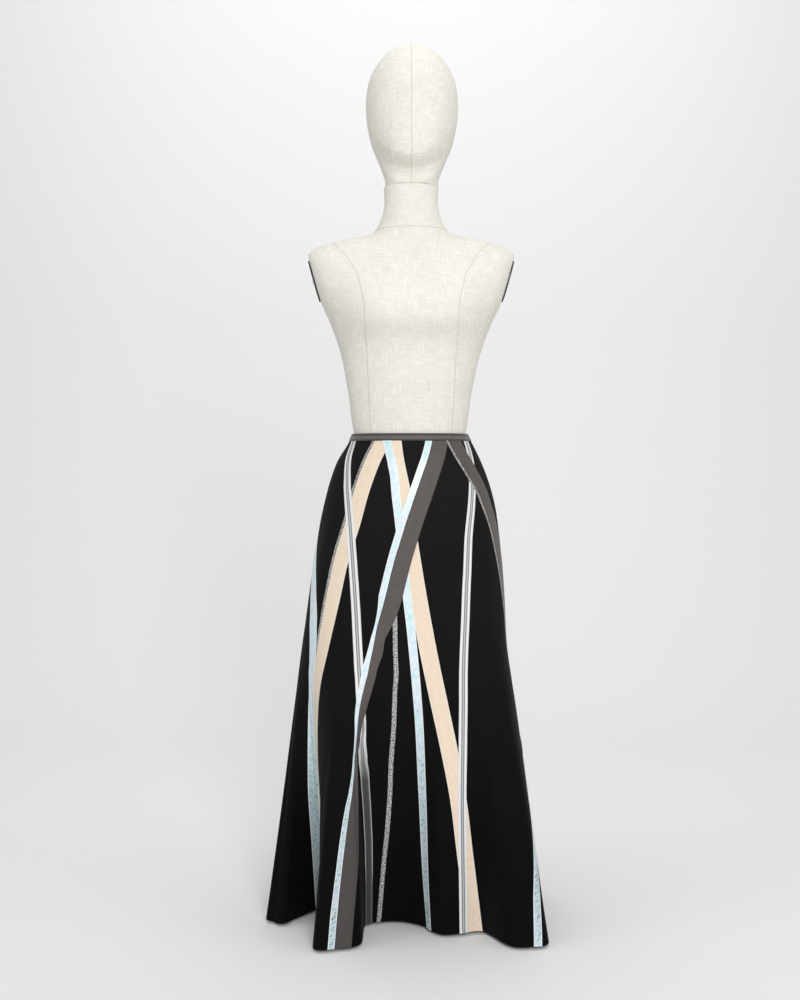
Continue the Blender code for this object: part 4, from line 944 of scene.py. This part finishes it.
def stitches(name, starts, ends, normals, finish):
    """Stitches as slender eight-sided spindles between pairs of points."""
    along_line = ends - starts
    side = np.cross(normals, along_line)
    side *= STITCH_HALF / np.linalg.norm(side, axis=1)[:, None]
    rise = normals * STITCH_HALF * STITCH_FLAT
    middle = (starts + ends) / 2
    ring = [middle + side, middle + rise, middle - side, middle - rise]
    points = np.stack([starts, *ring, ends], axis=1)
    faces = []
    for k in range(4):
        n = (k + 1) % 4
        faces += [(0, 1 + n, 1 + k), (5, 1 + k, 1 + n)]
    triangles = (np.arange(len(starts))[:, None, None] * 6 + np.array(faces)[None]).reshape(-1, 3)
    mesh = bpy.data.meshes.new(name)
    mesh.from_pydata(points.reshape(-1, 3).tolist(), [], triangles.tolist())
    mesh.shade_smooth()
    mesh.materials.append(finish)
    return placed(name, mesh)


ribbons = {}
for values in RIBBONS:
    row = dict(zip(RIBBON_COLUMNS, values))
    name, path, edges = row["name"], row["path"], row["across"]
    layers, slot = row["layers"], row["finish"]
    first, last = path[0][0], path[-1][0]
    drops = np.linspace(first, last, int((last - first) / ROW_STEP) + 1)
    width = edges[1] - edges[0]
    steps = max(FEWEST_COLUMNS, round(width / COLUMN_STEP))
    across = np.linspace(edges[0], edges[1], steps)
    seam_lines = (edges[0] + STITCH_INSET, edges[1] - STITCH_INSET)
    lines = np.concatenate([across, seam_lines])
    shares, slant = path_place(path, lines, drops, kept_width(name, drops))
    down = np.repeat(drops[:, None], steps, axis=1)
    under = under_side(layers, down)
    ribbon_outer = on_skirt(shares[:, :steps], down, under + RIBBON_WALL)
    ribbon_inner = on_skirt(shares[:, :steps], down, under)
    middle_line = ribbon_outer[:, steps // 2]
    run = np.concatenate([[0], np.cumsum(np.linalg.norm(np.diff(middle_line, axis=0), axis=1))])
    flat_u = np.repeat((across - edges[0])[None, :], len(drops), axis=0)
    flat_v = run[:, None] + (across - across.mean())[None, :] * slant[:, None]
    ribbon = shell(name + "_cloth", ribbon_outer, ribbon_inner, flat_u, flat_v)
    measure = ribbon.data.attributes.new("width", "FLOAT", "POINT")
    measure.data.foreach_set("value", np.full(len(ribbon.data.vertices), width))
    cloth, thread = RIBBON_FINISHES[slot]
    ribbon.data.materials.append(cloth)
    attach(ribbon, "dress_form")
    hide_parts(name)
    holes = np.arange(int(run[-1] / STITCH_PITCH)) * STITCH_PITCH
    seam_rows = []
    for seam_shares in shares[:, steps:].T:
        begin, end = (np.interp(place, run, drops) for place in (holes, holes + STITCH_LONG))
        begin_share, end_share = (np.interp(at, drops, seam_shares) for at in (begin, end))
        begin_lift, end_lift = (under_side(layers, at) + RIBBON_WALL for at in (begin, end))
        starts = on_skirt(begin_share, begin, begin_lift)
        facing = (on_skirt(begin_share, begin, begin_lift + PROBE) - starts) / PROBE
        seam_rows.append((starts, on_skirt(end_share, end, end_lift), facing))
    seam = stitches(name + "_stitches", *map(np.vstack, zip(*seam_rows)), thread)
    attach(seam, "dress_form")
    ribbons[name] = (ribbon, seam, width, float(run[-1]))

BESIDE = {"peach_ribbon_left": "silver_edge_left", "taupe_ribbon_right": "silver_edge_right",
          "blue_ribbon_centre": "silver_ribbon_centre"}
for name, (ribbon, seam, width, length) in ribbons.items():
    if name in BESIDE.values():
        continue
    extra = [seam]
    if name in BESIDE:
        extra += ribbons[BESIDE[name]][:2]


# Dress form
# A hollow moulded body and head, without arms or legs, covered in cream slub linen. The
# cover is pieced with shaped seams over the bust, at the neck and down the head.

# Columns as in the skirt's sections
FORM_SECTIONS = (
    (0.600, 0.1660, 0.1600, 0.1170, 0.1370, 2.30),
    (0.688, 0.1640, 0.1580, 0.1170, 0.1370, 2.25),
    (0.762, 0.1535, 0.1475, 0.1135, 0.1295, 2.15),
    (0.799, 0.1440, 0.1380, 0.1090, 0.1195, 2.10),
    (0.836, 0.1300, 0.1235, 0.1005, 0.1060, 2.05),
    (0.871, 0.1098, 0.1066, 0.0880, 0.0896, 2.00),
    (0.884, 0.1054, 0.1008, 0.0846, 0.0846, 2.00),
    (0.897, 0.1074, 0.1030, 0.0860, 0.0860, 2.00),
    (0.915, 0.1104, 0.1054, 0.0880, 0.0885, 2.00),
    (0.945, 0.1136, 0.1090, 0.0910, 0.0920, 2.02),
    (0.982, 0.1196, 0.1160, 0.0960, 0.0970, 2.05),
    (1.019, 0.1264, 0.1240, 0.1010, 0.1025, 2.10),
    (1.056, 0.1370, 0.1356, 0.1120, 0.1070, 2.15),
    (1.093, 0.1513, 0.1507, 0.1235, 0.1105, 2.30),
    (1.130, 0.1690, 0.1690, 0.1170, 0.1135, 2.60),
    (1.167, 0.1800, 0.1800, 0.1010, 0.1140, 2.90),
    (1.187, 0.1864, 0.1864, 0.0905, 0.1110, 2.90),
    (1.204, 0.1904, 0.1904, 0.0800, 0.1050, 2.70),
    (1.212, 0.1885, 0.1885, 0.0750, 0.1010, 2.50),
    (1.219, 0.1810, 0.1810, 0.0710, 0.0970, 2.35),
    (1.226, 0.1675, 0.1675, 0.0670, 0.0925, 2.25),
    (1.233, 0.1450, 0.1450, 0.0625, 0.0860, 2.15),
    (1.240, 0.1090, 0.1090, 0.0580, 0.0790, 2.05),
    (1.248, 0.0760, 0.0760, 0.0540, 0.0715, 2.00),
    (1.259, 0.0646, 0.0646, 0.0510, 0.0660, 2.00),
    (1.277, 0.0553, 0.0553, 0.0480, 0.0620, 2.00),
    (1.297, 0.0500, 0.0500, 0.0460, 0.0600, 2.00),
    (1.334, 0.0497, 0.0497, 0.0455, 0.0600, 2.00),
)
HEAD_SECTIONS = (
    (1.3343, 0.0478, 0.0492, 0.0470, 0.0600, 2.00),
    (1.348, 0.0480, 0.0500, 0.0640, 0.0640, 2.00),
    (1.366, 0.0540, 0.0565, 0.0830, 0.0730, 2.00),
    (1.384, 0.0610, 0.0640, 0.0905, 0.0820, 2.00),
    (1.402, 0.0690, 0.0720, 0.0935, 0.0900, 2.00),
    (1.421, 0.0748, 0.0778, 0.0950, 0.0960, 2.00),
    (1.446, 0.0802, 0.0832, 0.0955, 0.1010, 2.00),
    (1.476, 0.0828, 0.0858, 0.0950, 0.1045, 2.00),
    (1.503, 0.0814, 0.0842, 0.0915, 0.1030, 2.00),
    (1.527, 0.0765, 0.0795, 0.0850, 0.0970, 2.00),
    (1.548, 0.0665, 0.0695, 0.0750, 0.0860, 2.00),
    (1.566, 0.0530, 0.0560, 0.0610, 0.0690, 2.00),
    (1.578, 0.0390, 0.0415, 0.0450, 0.0510, 2.00),
    (1.586, 0.0215, 0.0235, 0.0250, 0.0280, 2.00),
    (1.589, 0.0070, 0.0080, 0.0080, 0.0090, 2.00),
)
ARM_TOP = (0.1876, 1.207)
ARM_LOW = (0.1645, 1.124)
BUST_SIDE = 0.070
BUST_HEIGHT = 1.098
BUST_RADIUS = 0.048
BUST_RISE = 0.006
FRONT_FADE = 0.06                 # depth in which what is added in front fades to the sides
SIDE_BACK = 0.004                 # the side seams lie this far behind the body's axis
# How far the chest stands forward under the bust line, by height, and the chin above the
# neck, by height over a line that rises towards the jaws
CHEST_HEIGHTS = (1.030, 1.046, 1.058, 1.070, 1.084, 1.110, 1.150, 1.200)
CHEST_FORWARD = (0.0, 0.001, 0.005, 0.0105, 0.0135, 0.0125, 0.007, 0.0)
CHEST_HALF = 0.112
CHIN_HEIGHTS = (-0.0267, -0.014, -0.004, 0.004, 0.013, 0.026, 0.050, 0.085)
CHIN_FORWARD = (0.0, -0.012, -0.015, -0.004, 0.006, 0.0065, 0.003, 0.0)
CHIN_LINE = 1.361
CHIN_CURVE = 8.0                  # rise of the line for a metre sideways, squared
CHIN_HALF = 0.060
CHIN_FADE = 0.05
CHIN_END = 1.3344                 # the neck's joint stays as it is
ARM_ROUND = 0.0012                # radius of the armhole's edge
ARM_CUT_END = 1.030               # the flat armhole takes nothing off below this height
# Seams over the bust: height, distance from the middle
PRINCESS = ((0.600, 0.092), (0.760, 0.086), (0.890, 0.0736), (1.051, 0.081), (1.110, 0.083),
            (1.165, 0.096), (1.200, 0.116), (1.226, 0.139), (1.300, 0.170))
NECK_SEAM = 1.2560
SLIT_PLACE = (0.030, 0.966)       # a short mended slit in front: sideways, height
SLIT_HALF = 0.011
SLIT_BEHIND = 0.2                 # distance added behind, where there is no slit
SEAM_WIDE = 0.0008
FORM_SMOOTH_ANGLE = 50            # degrees
# The mesh's rows from one height to another: first, last, count
BODY_ROWS = ((0.600, 1.180, 110), (1.180, 1.270, 60), (1.270, 1.334, 20))
BODY_COLUMNS = 220
HEAD_ROWS = (1.3343, 1.569, 90)
HEAD_COLUMNS = 160
CROWN_TOP = 1.589
CROWN_HIGH = 0.020
CROWN_ROWS = 40


def linen_finish(name, seams):
    """Cream linen with bright slubs both ways and pressed seams at the given attributes."""
    made, tree, shader, flat = cloth_finish(name, 0.85, sheen=0.05, specular=0.20)
    across = mottle(tree, flat, 430.0, stretch=(0.10, 1.0, 1.0), detail=4.0, twist=0.2)
    upright = mottle(tree, flat, 430.0, stretch=(1.0, 0.10, 1.0), detail=4.0, twist=0.2)
    fine = mottle(tree, flat, 1300.0, detail=2.0)
    here = above(tree, mottle(tree, flat, 60.0), 0.44, 0.20)
    there = above(tree, mottle(tree, flat, 42.0), 0.46, 0.20)
    level = times(tree, above(tree, across, 0.54, 0.10), here)
    stand = times(tree, above(tree, upright, 0.54, 0.10), there)
    slub = calc(tree, "MAXIMUM", level, stand)
    cloud = mottle(tree, object_place(tree), 14.0)
    tone = calc(tree, "MULTIPLY_ADD", fine, 0.5, times(tree, cloud, 0.5))
    ground = blended(tree, tone, (0.690, 0.660, 0.590), (0.810, 0.785, 0.725))
    threads = blended(tree, times(tree, slub, 0.60), ground, (0.920, 0.910, 0.875))
    seam = 0.0
    for seam_name in seams:
        mark = node(tree, "ShaderNodeAttribute", {}, attribute_name=seam_name)["Fac"]
        away = calc(tree, "ABSOLUTE", mark)
        seam = calc(tree, "MAXIMUM", seam, below(tree, away, SEAM_WIDE, 0.0006))
    colour = blended(tree, times(tree, seam, 0.4), threads, (0.470, 0.420, 0.340))
    weave = calc(tree, "MULTIPLY_ADD", woven(tree, flat, 0.0009), 0.5, slub)
    height = calc(tree, "MULTIPLY_ADD", seam, -2.5, weave)
    surface(tree, shader, colour, height, 0.5, 0.0005)
    return made


def shape_chest(x, y, z):
    """Moves the body's points for the chest and the bust, and flattens the armholes."""
    front = ease((BODY_Y - y) / FRONT_FADE)
    y -= np.interp(z, CHEST_HEIGHTS, CHEST_FORWARD) * front * np.exp(-(x / CHEST_HALF) ** 6)
    for side in (-1, 1):
        away = ((x - side * BUST_SIDE) ** 2 + (z - BUST_HEIGHT) ** 2) / BUST_RADIUS ** 2
        y -= BUST_RISE * np.exp(-away) * ease((BODY_Y - y) / FRONT_FADE)
        top = np.array([side * ARM_TOP[0], ARM_TOP[1]])
        low = np.array([side * ARM_LOW[0], ARM_LOW[1]])
        up = (top - low) / np.linalg.norm(top - low)
        out = np.array([up[1], -up[0]]) * side
        beyond = (x - top[0]) * out[0] + (z - top[1]) * out[1]
        push = ARM_ROUND * np.logaddexp(0.0, beyond / ARM_ROUND) * (z > ARM_CUT_END)
        x -= push * out[0]
        z -= push * out[1]


def shape_chin(x, y, z):
    """Moves the head's points for the chin and the hollow under it."""
    front = ease((BODY_Y - y) / CHIN_FADE)
    over_line = np.maximum(z - CHIN_LINE - CHIN_CURVE * x ** 2, CHIN_HEIGHTS[0])
    forward = np.interp(over_line, CHIN_HEIGHTS, CHIN_FORWARD) * (z > CHIN_END)
    y -= forward * front * np.exp(-(x / CHIN_HALF) ** 6)


def form_shell(name, sections, shape, heights, columns):
    """A smooth closed skin through the sections, with flat lengths and seam distances."""
    shares = np.arange(columns) / columns
    points = np.empty((len(heights), columns, 3))
    for row, height in zip(points, heights):
        row[:, :2] = round_the_body(oval_outline(sections, height), shares) + (0.0, BODY_Y)
        row[:, 2] = height
    shape(*(points[:, :, k] for k in range(3)))
    index = np.arange(len(heights) * columns).reshape(-1, columns)
    after = np.roll(index, -1, axis=1)
    quads = np.stack([index[:-1], after[:-1], after[1:], index[1:]], axis=-1).reshape(-1, 4)
    faces = quads.tolist() + [index[0, ::-1].tolist(), index[-1].tolist()]
    mesh = bpy.data.meshes.new(name)
    mesh.from_pydata(points.reshape(-1, 3).tolist(), [], faces)
    step = np.linalg.norm(np.roll(points, -1, axis=1) - points, axis=2)
    corners = np.empty(len(mesh.loops), int)
    mesh.loops.foreach_get("vertex_index", corners)
    lay_flat(mesh, corners, np.outer(step.sum(1), shares - 0.5), np.repeat(heights, columns))
    x, y, z = points.reshape(-1, 3).T
    distances = {
        "princess": np.abs(x) - np.interp(z, *zip(*PRINCESS)),
        "side": y - BODY_Y - SIDE_BACK,
        "centre": x,
        "neck": z - NECK_SEAM,
        "slit": np.hypot(x - SLIT_PLACE[0] + SLIT_BEHIND * (y > BODY_Y),
                         np.maximum(np.abs(z - SLIT_PLACE[1]) - SLIT_HALF, 0.0)),
    }
    for key, values in distances.items():
        mark = mesh.attributes.new(key, "FLOAT", "POINT")
        mark.data.foreach_set("value", np.ascontiguousarray(values))
    mesh.shade_smooth()
    mesh.set_sharp_from_angle(angle=math.radians(FORM_SMOOTH_ANGLE))
    return placed(name, mesh)


torso_heights = np.unique(np.concatenate([np.linspace(*rows) for rows in BODY_ROWS]))
torso_skin = form_shell("form_body_linen", FORM_SECTIONS, shape_chest, torso_heights,
                        BODY_COLUMNS)
torso_skin.data.materials.append(linen_finish("body_linen", ("princess", "side", "neck", "slit")))
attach(torso_skin, "dress_form")
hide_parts("form_torso")
rounding = np.sin(np.linspace(0.0, math.pi / 2, CROWN_ROWS))
crown = CROWN_TOP - CROWN_HIGH * (1 - rounding)
head_heights = np.unique(np.concatenate([np.linspace(*HEAD_ROWS), crown]))
head_skin = form_shell("form_head_linen", HEAD_SECTIONS, shape_chin, head_heights, HEAD_COLUMNS)
head_skin.data.materials.append(linen_finish("head_linen", ("centre",)))
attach(head_skin, "dress_form")
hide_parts("form_head")


# Armhole plates
# Oval metal plates close both flat armholes, each held by a round headed bolt. They are
# dark and softly shiny with brushed faces, and the bolts' heads are paler and polished.

# Darker and lighter colour, roughness, fineness of the scratches
DARK_STEEL = ((0.030, 0.030, 0.032), (0.085, 0.085, 0.090), 0.42, 900.0)
BOLT_COLOUR = (0.780, 0.780, 0.760)
PLATE_MIDDLE = (0.1778, 0.041, 1.165)      # distances from the middle, the axis and the floor
BOLT_REACH = 0.0062               # the bolt head and its washer lie within this distance


def metal_finish(name, dark, light, roughness, scratch_scale):
    """Metal with fine brushed scratches and patches that are more or less shiny."""
    made, tree, shader = plain_finish(name, roughness)
    shader.inputs["Metallic"].default_value = 0.85
    place = object_place(tree)
    brushed = mottle(tree, place, scratch_scale, stretch=(0.05, 1.0, 1.0), detail=4.0)
    patch = mottle(tree, place, 30.0)
    gloss = calc(tree, "MULTIPLY_ADD", patch, 0.25, roughness - 0.1)
    tree.links.new(gloss, shader.inputs["Roughness"])
    surface(tree, shader, blended(tree, brushed, dark, light), brushed, 0.2, 0.0001)
    return made


def plate_finish():
    """The dark plate metal, with a pale polished bolt head in the middle of the plate."""
    made = metal_finish("arm_plate_metal", *DARK_STEEL)
    tree = made.node_tree
    base = tree.nodes["Principled BSDF"].inputs["Base Color"]
    vectors = "ShaderNodeVectorMath"
    either = node(tree, vectors, {0: object_place(tree)}, operation="ABSOLUTE")[0]
    away = node(tree, vectors, {0: either, 1: PLATE_MIDDLE}, operation="DISTANCE")["Value"]
    head = below(tree, away, BOLT_REACH, 0.0003)
    tree.links.new(blended(tree, head, base.links[0].from_socket, BOLT_COLOUR), base)
    return made


def refinish(node_names, finish):
    """Gives nodes whose shape stays as it is a new material."""
    for node_name in node_names:
        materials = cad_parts[node_name].data.materials
        materials.clear()
        materials.append(finish)


refinish(("arm_plate_left", "arm_plate_right"), plate_finish())


# Stand
# A steel tube rises from a round steel plate into the form's body and carries it. Both
# stay hidden inside the skirt, and have the brushed finish that such stands have.

BRIGHT_STEEL = ((0.42, 0.42, 0.43), (0.62, 0.62, 0.63), 0.34, 700.0)
refinish(("stand_pole", "stand_base"), metal_finish("brushed_stand_steel", *BRIGHT_STEEL))


# Back zip
# A concealed zip closes the top of the centre back seam. Its slider and its pull tab are
# small dark metal castings, and the tab swings on the slider's pin.

refinish(("zip_slider", "zip_pull"), metal_finish("dark_zip_metal", *DARK_STEEL))
